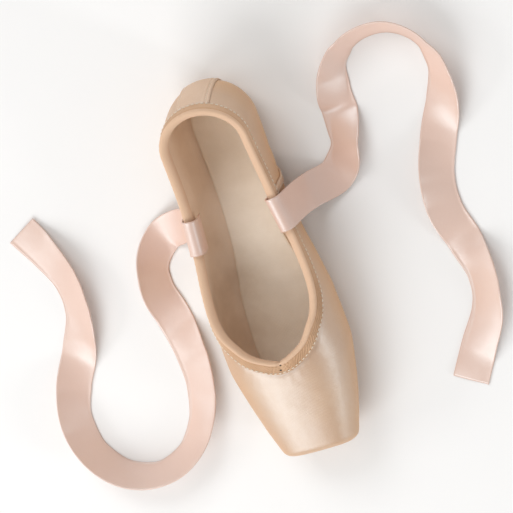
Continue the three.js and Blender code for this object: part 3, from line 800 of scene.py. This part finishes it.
def build_notch_holes():
    """Painted shade for the two holes in the notch where the drawstring comes out: small dark bars."""
    starts, ends, normals = [], [], []
    for down, inset, stop in NOTCH_HOLES:
        run, girth = COLLAR.levels([down])[down]
        centre = last_point(run[stop], girth[stop], inset, COLLAR.side[stop])
        reach = COLLAR.way[stop] * 0.65
        starts.append(centre - reach)
        ends.append(centre + reach)
        normals.append(surface_normal(run[stop], girth[stop], COLLAR.side[stop]))
    return stitch_mesh("notch_holes_painted_shade", starts, ends, normals, 0.45, 0.2)


# Strips sewn over the seams

def under_binding(run):
    """The girth just below the binding at each run."""
    run = np.asarray(run, float)
    edge, ahead = (last_point(at, collar_girth(at)) for at in (run, run + 1))
    below = BINDING_DEPTH + GAP
    return walk_out(run, collar_girth(run), np.ones_like(run), unit(ahead - edge), [below])[0][1]


STRIP_BACK = 0.12


def strip_mesh(name, run, girth, side, height):
    """A sewn strip over the last: its upper face stands at a height, its lower face close to the satin."""
    base = last_point(run, girth, 0, side)
    normals = surface_normal(run, girth, side)
    weave = cloth_places(run, girth * 40.0)
    return sheet_mesh(name, base + normals * height[..., None], base + normals * STRIP_BACK, weave)


def tape_places(along, across):
    """Runs and girths over a seam tape: along is 0 at the binding, 1 at the sole, across in millimetres."""
    top = float(under_binding(np.array([TAPE["top"]]))[0])
    girth = top + (GIRTH_AT_SOLE - top) * along
    run = TAPE["top"] + (TAPE["bottom"] - TAPE["top"]) * along + across
    return run, girth


def build_seam_tape(side_name):
    side = SIDES[side_name]
    along, across = np.meshgrid(np.linspace(0, 1, 72), np.linspace(-1, 1, 25), indexing="ij")
    run, girth = tape_places(along, across * TAPE["width"] / 2)
    edge = 1 - smoothstep(np.abs(across), 0.84, 1.0)
    channel = 0.2 * bell(np.abs(across) - TAPE["sewn_at"], 0.13)
    pulled = 0.05 * np.sin(2 * math.pi * along * 15 + side)
    height = GAP + TAPE["thickness"] * (0.25 + 0.75 * edge) - channel + pulled * edge
    return strip_mesh("seam_tape_" + side_name + "_satin", run, girth, side, height)


def build_tape_stitches(side_name):
    along, height = np.linspace(0.01, 0.99, 60), GAP + TAPE["thickness"] - 0.12
    places = [tape_places(along, aside * TAPE["sewn_at"] * TAPE["width"] / 2) for aside in (-1, 1)]
    rows = [row_over(*place, SIDES[side_name], height) for place in places]
    return sew("seam_tape_" + side_name + "_stitches", rows, **SEAM_STITCH)


def heel_places(up, aside):
    """Runs and girths over the heel strip: up is 0 at the sole, 1 at the binding, aside in millimetres."""
    top = under_binding(HEEL_BACK + np.abs(aside).ravel()).reshape(aside.shape)
    girth = GIRTH_AT_SOLE + (top - GIRTH_AT_SOLE) * up
    out, _ = section_point(np.full_like(girth, HEEL_RADIUS), girth, 0.0)
    return HEEL_BACK + aside / out * HEEL_RADIUS, girth


def build_heel_strip():
    up, share = np.meshgrid(np.linspace(0, 1, 84), np.linspace(-1, 1, 61), indexing="ij")
    aside = share * HEEL_STRIP["width"] / 2
    run, girth = heel_places(up, aside)
    away = HEEL_STRIP["width"] / 2 - np.abs(aside)
    edge = smoothstep(away, 0.0, 0.7)
    channel = 0.18 * bell(away - HEEL_STRIP["sewn_at"], 0.4)
    ridges = 0.22 * bell(away - 1.1, 0.55) + 0.2 * bell(away - 3.5, 0.6) - channel
    slack = 0.06 * np.sin(2 * math.pi * up * 9 + 1.2 * np.sin(aside * 0.5)) * smoothstep(away, 2, 6)
    height = GAP + HEEL_STRIP["thickness"] * (0.2 + 0.62 * edge) + ridges * edge + slack
    return strip_mesh("heel_strip_satin", run, girth, 1, height)


def build_heel_stitches():
    up, height = np.linspace(0.01, 0.99, 70), GAP + HEEL_STRIP["thickness"] - 0.2
    aside = HEEL_STRIP["width"] / 2 - HEEL_STRIP["sewn_at"]
    rows = [row_over(*heel_places(up, np.full_like(up, way * aside)), 1, height) for way in (-1, 1)]
    return sew("heel_strip_stitches", rows, **SEAM_STITCH)


def build_fold_stitches():
    """The stitch line beside the folded edges under the toe."""
    station = np.linspace(SOLE["end"] + 0.8, LENGTH - 0.6, 40)
    girth = girth_at_out(station, np.full_like(station, FOLD["half_width"] - FOLD["stitches_inside"]))
    rows = [row_over(station, girth, side, 0.08 - FOLD["depth"]) for side in SIDES.values()]
    return sew("toe_fold_stitches", rows, 2.6, 1.9, 0.22)


# Sole and insole

def outline_loop(shape, spacing, soften):
    """Stations and asides round a sole-like outline with softened corners, and their inward ways."""
    share = (1 - np.cos(math.pi * np.linspace(0, 1, 1200))) / 2
    station = shape["start"] + (shape["end"] - shape["start"]) * share
    half = outline_half(shape, station)
    share = np.linspace(0, 1, 60)
    back = np.stack([np.full(60, shape["start"]), share * half[0]], -1)
    front = np.stack([np.full(60, shape["end"]), share[::-1] * half[-1]], -1)
    one = np.concatenate([back, np.stack([station, half], -1), front])
    loop = np.concatenate([one, one[::-1] * [1, -1]])
    loop = loop[np.concatenate([[True], np.linalg.norm(np.diff(loop, axis=0), axis=1) > 1e-9])]
    closed = np.concatenate([loop, loop[:1]])
    travelled = travelled_along(closed)
    even = np.linspace(0, travelled[-1], round(travelled[-1] / spacing), endpoint=False)
    stops = at_distances(even, travelled, closed)
    reach = max(round(soften / spacing), 1)
    for _ in range(3):
        stops = sum(np.roll(stops, k, 0) for k in range(-reach, reach + 1)) / (2 * reach + 1)
    way = unit(np.roll(stops, -1, 0) - np.roll(stops, 1, 0))
    inward = np.stack([way[:, 1], -way[:, 0]], -1)
    middle = np.array([(shape["start"] + shape["end"]) / 2, 0])
    return stops, inward * np.sign(np.sum(inward * (middle - stops)))


# How far from the outline the rings that close on the middle line count as being
CORE_DISTANCE = 30.0


def inset_rings(shape, stops, inward, distances, steps):
    """Rings at distances from the outline, then some that close on the middle line, with their distances."""
    rings = [(distance, stops + inward * distance) for distance in distances]
    last = rings[-1][1]
    core = np.stack([np.clip(stops[:, 0], shape["start"] + 22, shape["end"] - 24), np.zeros(len(stops))], -1)
    shares = np.linspace(0, 1, steps + 1)[1:]
    return rings + [(CORE_DISTANCE, last * (1 - share) + core * share) for share in shares]


def sole_points(place, level):
    """Points from stations and asides, at heights measured from the last's flat underside."""
    return np.stack([place[:, 0] - ORIGIN_STATION, place[:, 1], SECTION["bottom"](place[:, 0]) + level], -1)


def ring_stack(name, rings):
    """A closed piece from rings of points that begin and end on the middle line."""
    rings = np.stack(rings)
    return make_mesh(name, rings, grid_faces(*rings.shape[:2], 0, False, True), rings)


SOLE_STITCHES = {"rows": [2.2, 4.9], "pitch": 3.7, "length": 2.5, "hole": 0.9, "second_row_from": 112.0}


def sole_channels(distance, station):
    """Depth of the stitched channels at a distance from the sole's edge."""
    first, second = SOLE_STITCHES["rows"]
    start = SOLE_STITCHES["second_row_from"]
    forefoot = smoothstep(station, start - 3, start)
    return 0.3 * bell(distance - first, 0.55) + 0.26 * bell(distance - second, 0.55) * forefoot


GRIP = {"pitch": 6.0, "from": 126.0, "to": 192.0, "half_width": 14.0, "depth": 0.4}


def grip_lines(points):
    """Depth of the shallow lines pressed across the ball, fainter where the sole is worn."""
    station = points[:, 0] + ORIGIN_STATION
    lines = 0.5 + 0.5 * np.cos(2 * math.pi * (station - GRIP["from"]) / GRIP["pitch"])
    inside = smoothstep(GRIP["half_width"] - np.abs(points[:, 1]), 0, 2)
    for end in (station - GRIP["from"], GRIP["to"] - station):
        inside = inside * smoothstep(end, -1, 1)
    worn = np.clip(0.75 + 0.5 * wobble(points, 24, 32), 0.2, 1.0)
    return GRIP["depth"] * lines**4 * inside * worn


def build_outsole():
    stops, inward = outline_loop(SOLE, 0.6, 1.8)
    distances = [0.0, 0.25, 0.6, 1.0, 1.5, 1.9, 2.2, 2.5, 2.9, 3.5, 4.1, 4.6, 4.9, 5.2, 5.6, 6.2, 7.2, 8.2]
    rings = []
    for distance, ring in reversed(inset_rings(SOLE, stops, inward, distances, 26)):
        points = sole_points(ring, -GAP - SOLE["thickness"])
        bevel = 0.75 * (1 - smoothstep(distance, 0.0, 1.3)) ** 1.5
        hollow = 0.12 * np.maximum(wobble(points, 16, 31), 0) * smoothstep(distance, 6, 9)
        points[:, 2] += bevel + sole_channels(distance, ring[:, 0]) + hollow + grip_lines(points)
        rings.append(points)
    for outward, share in ((0.12, 0.45), (-0.02, 0.2)):
        rings.append(sole_points(stops - inward * outward, -GAP - SOLE["thickness"] * share))
    over = inset_rings(SOLE, stops, inward, [0.3, 3.0, 8.0], 4)
    return ring_stack("outsole_suede", rings + [sole_points(ring, -GAP - 0.02) for _, ring in over])


def sole_stitch_rows():
    """Both rows to sew, the second one round the forefoot only: points, normals, and whether it closes."""
    stops, inward = outline_loop(SOLE, 0.5, 1.8)
    for number, distance in enumerate(SOLE_STITCHES["rows"]):
        place = stops + inward * distance
        closed = number == 0
        if not closed:
            fore = place[:, 0] > SOLE_STITCHES["second_row_from"]
            first = int(np.argmax(fore & ~np.roll(fore, 1)))
            place = np.roll(place, -first, 0)[np.roll(fore, -first)]
        line = sole_points(place, -GAP - SOLE["thickness"] + sole_channels(distance, place[:, 0]))
        yield line, np.repeat([[0.0, 0.0, -1.0]], len(line), 0), closed


def build_sole_stitches():
    """Cream threads in the channels."""
    pitch, length = SOLE_STITCHES["pitch"], SOLE_STITCHES["length"]
    return sew("sole_stitches", sole_stitch_rows(), pitch, length, 0.3, 0.15)


def build_sole_holes():
    """Painted shade for the holes halfway from each stitch to the next: small dark bars."""
    size, found = SOLE_STITCHES["hole"], []
    for line, normals, closed in sole_stitch_rows():
        start, end, normal = stitches_along(line, normals, closed, SOLE_STITCHES["pitch"], size)
        centre = (start + end) / 2 + (np.roll(start, -1, 0) - start) / 2
        reach = unit(end - start) * size / 2
        last = None if closed else -1
        found.append([rows[:last] for rows in (centre - reach, centre + reach, normal)])
    return stitch_mesh("sole_stitch_holes_painted_shade", *map(np.concatenate, zip(*found)), 0.42, 0.05)


def build_insole():
    stops, inward = outline_loop(INSOLE, 1.4, 2.5)
    distances = [0.0, 0.25, 0.6, 1.2, 2.0, 3.2, 5.0, 7.5, 10.0]
    base = WALL + GAP
    rings = []
    for distance, ring in reversed(inset_rings(INSOLE, stops, inward, distances, 10)):
        points = sole_points(ring, base + INSOLE["thickness"])
        rounding = 0.5 * (1 - smoothstep(distance, 0.0, 1.0)) ** 2
        worn_heel, worn_ball = 0.5 * bell(ring[:, 0] - 36, 20), 0.55 * bell(ring[:, 0] - 158, 26)
        worn = (worn_heel + worn_ball) * smoothstep(distance, 3, 12)
        points[:, 2] -= rounding + worn - 0.08 * wobble(points, 14, 41)
        rings.append(points)
    rings.append(sole_points(stops, base + 0.4))
    under = inset_rings(INSOLE, stops, inward, [0.3, 4.0], 3)
    return ring_stack("insole_cloth", rings + [sole_points(ring, base + 0.02) for _, ring in under])


# Ties

def centripetal_curve(points, per_span):
    """Points along a centripetal Catmull-Rom curve."""
    points = np.array(points, float)
    padded = np.concatenate([2 * points[:1] - points[1:2], points, 2 * points[-1:] - points[-2:-1]])
    made = []
    for i in range(1, len(padded) - 2):
        p0, p1, p2, p3 = padded[i - 1:i + 3]
        d0, d1, d2 = (np.linalg.norm(b - a) ** 0.5 for a, b in ((p0, p1), (p1, p2), (p2, p3)))
        t1 = ((p1 - p0) / d0 - (p2 - p0) / (d0 + d1) + (p2 - p1) / d1) * d1
        t2 = ((p2 - p1) / d1 - (p3 - p1) / (d1 + d2) + (p3 - p2) / d2) * d1
        for t in np.arange(per_span) / per_span:
            ease = (3 - 2 * t) * t * t
            made.append((1 - ease) * p1 + ease * p2 + t * (1 - t) ** 2 * t1 - t * t * (1 - t) * t2)
    made.append(points[-1])
    return np.array(made)


def tie_seat(side):
    """The collar's point that a tie goes over, and the collar's way there."""
    stations = TIE["station"] + np.array([0, -0.5, 0.5]) * TIE["width"]
    edge = last_point(stations, collar_girth(stations), 0, side)
    return edge[0], unit(edge[2] - edge[1])


def tie_line(side_name, spacing):
    """Even stops along a tie's middle line, and their distances from its start."""
    side = SIDES[side_name]
    edge, along = tie_seat(side)
    outward = unit(np.array([-along[1], along[0], 0.0])) * side
    high = [edge + outward * out + [0, 0, up] for out, up in TIE_OVER_COLLAR]
    level = GAP + TIE["thickness"] / 2
    low = [[station - ORIGIN_STATION, side * aside, level] for station, aside in TIE_ON_FLOOR[side_name]]
    line = centripetal_curve(high + low, 60)
    travelled = travelled_along(line)
    even = np.linspace(0, travelled[-1], round(travelled[-1] / spacing) + 1)
    return at_distances(even, travelled, line), even


def smoothed(values, reach):
    """Moving average over that many stops on each side."""
    window = np.ones(2 * reach + 1) / (2 * reach + 1)
    return np.convolve(np.pad(values, reach, mode="edge"), window, mode="valid")


def tie_leans(ways, distances):
    """The tie lies flat where it runs straight and stands towards its edge where it bends."""
    turned = ways[:-2, 0] * ways[2:, 1] - ways[:-2, 1] * ways[2:, 0]
    bends = np.concatenate([[0], turned / (distances[2:] - distances[:-2]), [0]])
    bends = smoothed(bends, round(TIE["lean_reach"] / (distances[1] - distances[0])))
    landed = smoothstep(distances, TIE["lands"], TIE["lands"] + 2 * TIE["width"])
    return -np.clip(bends * TIE["lean_per_bend"], -TIE["most_lean"], TIE["most_lean"]) * landed


RIBBON = {"cloth": 0.42, "selvedge": 0.22, "over_floor": 0.4 * GAP, "columns": 23, "spacing": 1.25}


def build_tie(side_name):
    side = SIDES[side_name]
    line, distances = tie_line(side_name, RIBBON["spacing"])
    _, along = tie_seat(side)
    ways = unit(np.gradient(line, axis=0))
    leans = tie_leans(ways, distances)
    high = line[:, 2] > TIE["flat_below"]
    square = np.stack([-ways[:, 1], ways[:, 0], np.zeros(len(ways))], -1)
    level = unit(np.where(high[:, None], along * -side, square))
    level = unit(np.stack([smoothed(part, 5) for part in level.T], -1))
    width = level * np.cos(leans)[:, None]
    width[:, 2] += np.sin(leans)
    thick = unit(np.cross(ways, width))
    middle = line.copy()
    middle[:, 2] += TIE["width"] / 2 * (np.hypot(np.sin(leans), 0.12) - 0.12)
    landed = smoothstep(distances, TIE["lands"], TIE["lands"] + 30)
    off_shoe = smoothstep(distances, 46, 60)
    across = np.linspace(-1, 1, RIBBON["columns"])
    outer, inner = [], []
    for u in across:
        # Soft waves along the ribbon, and its edges curl up or down a little
        flutter = 0.5 * np.sin(distances / 13 + 2.1 * u + side) + 0.35 * np.sin(distances / 6.1 - 1.7 * u)
        cup = 0.9 * (u * u - 0.35) * np.sin(distances / 41 + 1.1 * side)
        lift = (0.25 * flutter + 0.8 * cup) * (0.25 + 0.75 * landed) * off_shoe
        place = middle + width * (u * TIE["width"] / 2) + thick * lift[:, None]
        half = RIBBON["cloth"] / 2 + RIBBON["selvedge"] * smoothstep(abs(u), 0.88, 0.95)
        top, low = place + thick * half, place - thick * half
        low[:, 2] = np.maximum(low[:, 2], RIBBON["over_floor"])
        top[:, 2] = np.maximum(top[:, 2], RIBBON["over_floor"] + 2 * half * np.abs(thick[:, 2]))
        outer.append(top)
        inner.append(low)
    outer, inner = np.stack(outer, 1), np.stack(inner, 1)
    weave = cloth_places(*np.meshgrid(distances, across * TIE["width"] / 2, indexing="ij"))
    piece = sheet_mesh("ribbon_" + side_name + "_satin", outer, inner, weave)
    centres = (outer.mean(1) + inner.mean(1)) / 2
    length = float(travelled_along(centres)[-1])
    [tuple(p) for p in centres * MM]
    return piece


# Materials: noise scales are per metre of the object or per millimetre of the cloth, relief is in millimetres

class Look:
    """One material, with short calls for the nodes that it is made of."""

    def __init__(self, name, **settings):
        self.material = bpy.data.materials.new(name)
        self.material.use_nodes = True
        self.tree = self.material.node_tree
        self.set(**settings)

    def set(self, **settings):
        """Values or links for the shader's sockets, by their names in small letters."""
        shader = self.tree.nodes["Principled BSDF"]
        for socket, value in settings.items():
            self.put(shader.inputs[socket.replace("_", " ").title().replace("Ior", "IOR")], value)

    def put(self, socket, value):
        if isinstance(value, bpy.types.NodeSocket):
            self.tree.links.new(value, socket)
        else:
            socket.default_value = (*value, 1.0) if socket.type == "RGBA" else value

    def node(self, kind, inputs, output=0, **settings):
        made = self.tree.nodes.new(kind)
        for name, value in settings.items():
            setattr(made, name, value)
        for key, value in inputs.items():
            self.put(made.inputs[key], value)
        return made.outputs if output is None else made.outputs[output]

    def place(self):
        return self.node("ShaderNodeTexCoord", {}, "Object")

    def cloth(self):
        return self.node("ShaderNodeAttribute", {}, "Vector", attribute_name="weave")

    def turned(self, vector, scale, turn=0.0):
        inputs = {"Vector": vector, "Scale": scale, "Rotation": (0, 0, turn)}
        return self.node("ShaderNodeMapping", inputs)

    def noise(self, vector, scale, detail=3.0, rough=0.55, output="Fac"):
        inputs = {"Vector": vector, "Scale": scale, "Detail": detail, "Roughness": rough}
        return self.node("ShaderNodeTexNoise", inputs, output)

    def parts(self, vector):
        return tuple(self.node("ShaderNodeSeparateXYZ", {"Vector": vector}, None))

    def count(self, operation, *values):
        return self.node("ShaderNodeMath", dict(enumerate(values)), operation=operation)

    def product(self, first, *others):
        for other in others:
            first = self.count("MULTIPLY", first, other)
        return first

    def span(self, value, low, high, to_low=0.0, to_high=1.0):
        inputs = {"Value": value, "From Min": low, "From Max": high, "To Min": to_low, "To Max": to_high}
        return self.node("ShaderNodeMapRange", inputs, clamp=True)

    def blend(self, share, first, second):
        return self.node("ShaderNodeMix", {0: share, 6: first, 7: second}, 2, data_type="RGBA")

    def drift(self, value, low, high, first, second, most=1.0):
        """From the first colour, where a value is low, to as much of the second as most says."""
        return self.blend(self.span(value, low, high, 0.0, most), first, second)

    def threads(self, vector, pitch, turn=0.0):
        """Rounded threads side by side across a cloth, as heights from 0 to 1."""
        across, _, _ = self.parts(self.turned(vector, (1.0, 1.0, 1.0), turn))
        wave = self.count("SINE", self.product(across, 2 * math.pi / pitch))
        return self.count("MULTIPLY_ADD", wave, 0.5, 0.5)

    def raise_by(self, height, millimetres, strength=1.0, over=None):
        inputs = {"Height": height, "Distance": millimetres * MM, "Strength": strength}
        if over is not None:
            inputs["Normal"] = over
        return self.node("ShaderNodeBump", inputs, "Normal")


FLOAT_SLANT = 0.62
# Heights in metres between which the satin's painted shade deepens towards the sole
FLANK_SHADE_HEIGHTS = (0.038, 0.019)
COAT_FADES = (0.2, 0.58)


def satin_look(name, base, deep, pale, low, gloss, weave=0.12, pitch=0.95):
    """Satin: long floats of thread at a slant, a soft gloss, tone that drifts a little over the cloth, and
    painted shade: a deeper, warmer tone low on the flanks, where the sides turn from the light."""
    look = Look(
        name, specular_ior_level=0.52, ior=1.95, specular_tint=(0.48, 0.87, 1.0),
        coat_ior=gloss, coat_roughness=0.34)
    cloth, place = look.cloth(), look.place()
    tone = look.noise(place, 26.0)
    mottle = look.noise(place, 210.0, 4.0, 0.65)
    slubs = look.noise(look.turned(cloth, (0.35, 3.2, 1.0), 0.7), 1.0, 2.0)
    broken = look.noise(look.turned(cloth, (1.2, 4.2, 1.0), FLOAT_SLANT), 1.0, 3.0, 0.6)
    uneven = look.noise(cloth, 0.9, 2.0, 0.5, "Color")
    bent = look.node("ShaderNodeVectorMath", {0: cloth, 1: uneven}, operation="ADD")

    shade = look.drift(tone, 0.35, 0.65, deep, base)
    shade = look.drift(slubs, 0.4, 0.75, shade, pale, 0.35)
    shade = look.drift(mottle, 0.52, 0.72, shade, deep, 0.22)
    ridges = look.product(look.threads(bent, 1.45 * pitch, FLOAT_SLANT), look.span(broken, 0.35, 0.65))
    shade = look.drift(ridges, 0.3, 0.9, shade, deep, 0.4)
    # Painted shade: lower on the flanks the colour drifts to the low colour, a little broken by the tone
    # noise
    _, _, height = look.parts(place)
    flank = look.count("ADD", look.span(height, *FLANK_SHADE_HEIGHTS), look.span(tone, 0.3, 0.7, -0.15, 0.15))
    shade = look.drift(flank, 0.0, 1.0, shade, low, 0.7)

    facing = look.node("ShaderNodeLayerWeight", {"Blend": 0.5}, "Facing")
    coat = look.product(look.span(facing, *COAT_FADES, 1.0, 0.0), look.span(mottle, 0.35, 0.65, 1.0, 0.78))
    floats = look.product(look.threads(bent, pitch, FLOAT_SLANT), look.span(tone, 0.3, 0.7, 0.35, 1.0))
    relief = look.raise_by(floats, weave, 0.5, look.raise_by(broken, 0.9 * weave, 0.6))
    look.set(
        base_color=shade, coat_weight=coat, roughness=look.span(slubs, 0.3, 0.7, 0.34, 0.46),
        normal=relief, coat_normal=relief)
    return look.material


def tape_look(name, base, deep, pale, pitch=0.55):
    """Matt cotton tape in a fine slanted twill, with a painted highlight: paler over the rolled rim than on
    the band below it.
    """
    look = Look(name, specular_ior_level=0.25, sheen_weight=0.2, sheen_roughness=0.5)
    cloth, place = look.cloth(), look.place()
    twill = look.threads(cloth, pitch, 0.8)
    fuzz = look.noise(place, 1100.0, 3.0, 0.7)
    band = look.drift(look.noise(place, 60.0), 0.35, 0.7, base, deep)
    # Painted highlight: the rolled rim above the fold takes the pale colour
    _, down, _ = look.parts(cloth)
    shade = look.drift(down, BINDING_FOLD - 0.2, BINDING_FOLD + 0.2, pale, band)
    shade = look.blend(look.product(twill, 0.25), shade, deep)
    relief = look.raise_by(twill, 0.14, 0.6, look.raise_by(fuzz, 0.14, 0.5))
    look.set(base_color=shade, roughness=look.span(fuzz, 0.3, 0.7, 0.62, 0.82), normal=relief)
    return look.material


def cotton_look(name, base, deep, stain):
    """Plain woven cotton, a little uneven in tone and marked by wear."""
    look = Look(name, specular_ior_level=0.2, sheen_weight=0.15, sheen_roughness=0.6)
    place = look.place()
    millimetres = look.turned(place, (1000.0, 1000.0, 1000.0))
    plain = look.product(look.threads(millimetres, 0.9), look.threads(millimetres, 0.9, math.pi / 2))
    slub = look.noise(look.turned(place, (900.0, 90.0, 400.0)), 1.0)
    shade = look.drift(look.noise(place, 35.0, 4.0), 0.35, 0.65, base, deep)
    shade = look.drift(look.noise(place, 18.0, 5.0, 0.6), 0.56, 0.72, shade, stain, 0.45)
    shade = look.drift(slub, 0.5, 0.8, shade, deep, 0.2)
    relief = look.raise_by(plain, 0.14, 0.6, look.raise_by(slub, 0.12, 0.4))
    look.set(base_color=shade, roughness=look.span(slub, 0.3, 0.7, 0.75, 0.92), normal=relief)
    return look.material


def grip_tone(look, place):
    """Where the grip lines are, a little broken up by wear."""
    along, aside, _ = look.parts(look.cloth())
    start, end = GRIP["from"] - ORIGIN_STATION, GRIP["to"] - ORIGIN_STATION
    phase = look.product(look.count("ADD", along, -start), 2 * math.pi / GRIP["pitch"])
    lines = look.span(look.count("COSINE", phase), 0.6, 0.95)
    worn = look.span(look.noise(place, 30.0, 2.0), 0.35, 0.6, 0.45, 1.0)
    inside = look.span(look.count("ABSOLUTE", aside), GRIP["half_width"], GRIP["half_width"] - 1.5)
    ends = look.product(look.span(along, start - 1, start), look.span(along, end + 1, end))
    return look.product(lines, worn, inside, ends)


def suede_look(name, base, deep, pale):
    """Split leather: a short nap, pores, brushed patches and the lines pressed into it."""
    look = Look(name, specular_ior_level=0.22, sheen_weight=0.35, sheen_roughness=0.45)
    place = look.place()
    nap = look.noise(place, 1400.0, 4.0, 0.7)
    patches = look.noise(place, 48.0, 5.0, 0.6)
    brushed = look.noise(look.turned(place, (60.0, 420.0, 60.0), 0.3), 1.0, 4.0)
    spots = look.node("ShaderNodeTexVoronoi", {"Vector": place, "Scale": 620.0}, "Distance")
    pores = look.span(spots, 0.0, 0.22, 1.0, 0.0)
    shade = look.drift(patches, 0.35, 0.65, deep, base)
    shade = look.drift(brushed, 0.5, 0.75, shade, pale, 0.5)
    shade = look.blend(look.product(pores, 0.35), shade, deep)
    shade = look.blend(look.product(grip_tone(look, place), 0.55), shade, deep)
    shade = look.drift(nap, 0.55, 0.8, shade, pale, 0.3)
    relief = look.raise_by(pores, -0.12, 0.5, look.raise_by(nap, 0.16, 0.55))
    look.set(base_color=shade, roughness=look.span(patches, 0.3, 0.7, 0.72, 0.9), normal=relief)
    return look.material


def thread_look(name, base, deep):
    """Spun thread: a fine twist and some fuzz."""
    look = Look(name, specular_ior_level=0.3, sheen_weight=0.2)
    place = look.place()
    twist = look.noise(look.turned(place, (2600.0, 2600.0, 2600.0)), 1.0, 2.0)
    shade = look.drift(look.noise(place, 140.0), 0.35, 0.65, base, deep)
    shade = look.drift(twist, 0.4, 0.7, shade, deep, 0.35)
    roughness = look.span(twist, 0.3, 0.7, 0.5, 0.75)
    look.set(base_color=shade, roughness=roughness, normal=look.raise_by(twist, 0.06, 0.6))
    return look.material


def floor_look():
    look = Look("floor_paper", specular_ior_level=0.2)
    tone = look.noise(look.place(), 6.0)
    shade = look.drift(tone, 0.3, 0.7, (0.93, 0.93, 0.93), (0.95, 0.95, 0.945))
    look.set(base_color=shade, roughness=look.span(tone, 0.3, 0.7, 0.75, 0.85))
    return look.material


LOOKS = {
    # Each satin's fourth colour is the painted shade low on its flanks; the ribbons' equals their base
    "satin": satin_look(
        "peach_satin", (0.69, 0.42, 0.245), (0.62, 0.35, 0.19), (0.74, 0.51, 0.34), (0.73, 0.38, 0.15),
        2.05, weave=0.13),
    "strip": satin_look(
        "strip_satin", (0.78, 0.50, 0.32), (0.70, 0.42, 0.25), (0.83, 0.60, 0.43), (0.70, 0.42, 0.24),
        1.9, weave=0.09, pitch=0.7),
    "ribbon": satin_look(
        "ribbon_satin", (0.86, 0.59, 0.48), (0.80, 0.52, 0.41), (0.91, 0.70, 0.61), (0.86, 0.59, 0.48),
        1.8, weave=0.05, pitch=0.55),
    # The binding's third colour is the painted highlight on its rolled rim
    "binding": tape_look("binding_tape", (0.72, 0.465, 0.29), (0.60, 0.365, 0.215), (0.80, 0.55, 0.38)),
    "lining": cotton_look("lining_cotton", (0.88, 0.71, 0.56), (0.80, 0.62, 0.47), (0.62, 0.46, 0.33)),
    "insole": cotton_look("insole_cotton", (0.89, 0.79, 0.67), (0.81, 0.70, 0.57), (0.60, 0.46, 0.34)),
    "suede": suede_look("sole_suede", (0.56, 0.33, 0.17), (0.44, 0.24, 0.115), (0.68, 0.45, 0.27)),
    "thread": thread_look("cream_thread", (0.90, 0.83, 0.72), (0.76, 0.64, 0.49)),
    # Painted shade: near-black thread-like bars stand for the shade inside the holes
    "hole": thread_look("painted_hole_shade", (0.045, 0.028, 0.018), (0.02, 0.012, 0.008)),
}


# Assembly

def place_piece(piece, look, slot, *nodes):
    piece.data.materials.append(LOOKS[look])
    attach(piece, "root")
    if nodes:
        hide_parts(*nodes)


def build_shoe():
    for side_name in SIDES:
        place_piece(build_tie(side_name), "ribbon", "ribbon_satin", "ribbon_" + side_name)
    place_piece(build_upper(), "satin", "satin", "upper")
    place_piece(build_lining(), "lining", "insole_cloth")
    place_piece(build_binding(), "binding", "binding_cloth", "collar_binding")
    place_piece(build_binding_stitches(), "thread", "binding_cloth")
    place_piece(build_notch_holes(), "hole", "binding_cloth")
    for side_name in SIDES:
        place_piece(build_seam_tape(side_name), "strip", "satin", "seam_tape_" + side_name)
        place_piece(build_tape_stitches(side_name), "thread", "satin")
    place_piece(build_heel_strip(), "strip", "satin", "heel_strip")
    place_piece(build_heel_stitches(), "thread", "satin")
    place_piece(build_fold_stitches(), "thread", "satin")
    place_piece(build_outsole(), "suede", "sole_leather", "outsole")
    place_piece(build_sole_stitches(), "thread", "sole_leather")
    place_piece(build_sole_holes(), "hole", "sole_leather")
    place_piece(build_insole(), "insole", "insole_cloth", "insole")


build_shoe()


# Floor, light and camera

SHOE_MIDDLE = Vector((0.03, 0.0, 0.04))

# Each light: its way from the shoe, its distance and size in metres, and its watts
LIGHTS = {
    "key": ((0.60, -0.51, 0.61), 2.2, (1.75, 1.5), 28.0),
    "streak": ((0.57, 0.77, 0.31), 2.0, (0.26, 0.5), 5.8),
    "flank": ((-0.15, -0.85, 0.42), 2.0, (0.9, 0.3), 5.0),
    "overhead": ((-0.70, -0.18, 0.62), 2.2, (1.2, 1.0), 15.0),
}

# The photograph's view: turns about X, Y and Z in degrees, and the point in its middle
CAMERA = {
    "turn": (-16.5665, 11.3684, 70.9428), "aim": (-0.00566, -0.00239, 0.01562),
    "distance": 2.5, "lens": 293.0,
}


def add_lights():
    """Soft lights that shine on the shoe."""
    for name, (way, distance, size, watts) in LIGHTS.items():
        lamp = bpy.data.lights.new(name, "AREA")
        lamp.shape = "RECTANGLE"
        lamp.size, lamp.size_y = size
        lamp.energy = watts
        made = bpy.data.objects.new(name, lamp)
        way = Vector(way).normalized()
        made.location = SHOE_MIDDLE + way * distance
        made.rotation_mode = "QUATERNION"
        made.rotation_quaternion = (-way).to_track_quat("-Z", "Y")
        bpy.context.scene.collection.objects.link(made)


def add_camera():
    data = bpy.data.cameras.new("photo_camera")
    data.lens = CAMERA["lens"]
    data.clip_end = 20.0
    made = bpy.data.objects.new("photo_camera", data)
    turn = Euler([math.radians(angle) for angle in CAMERA["turn"]])
    made.rotation_euler = turn
    made.location = Vector(CAMERA["aim"]) + turn.to_matrix() @ Vector((0, 0, CAMERA["distance"]))
    bpy.context.scene.collection.objects.link(made)
    bpy.context.scene.camera = made


def add_floor():
    bpy.ops.mesh.primitive_plane_add(size=6.0, location=(0, 0, 0))
    floor = bpy.context.object
    floor.name = "floor"
    floor.data.materials.append(floor_look())


def add_world():
    world = bpy.data.worlds.new("studio")
    world.use_nodes = True
    sky = world.node_tree.nodes["Background"]
    sky.inputs["Color"].default_value = (1.0, 0.985, 0.965, 1.0)
    sky.inputs["Strength"].default_value = 0.44
    bpy.context.scene.world = world


add_floor()
add_world()
add_lights()
add_camera()

bpy.context.scene.view_settings.view_transform = "Standard"
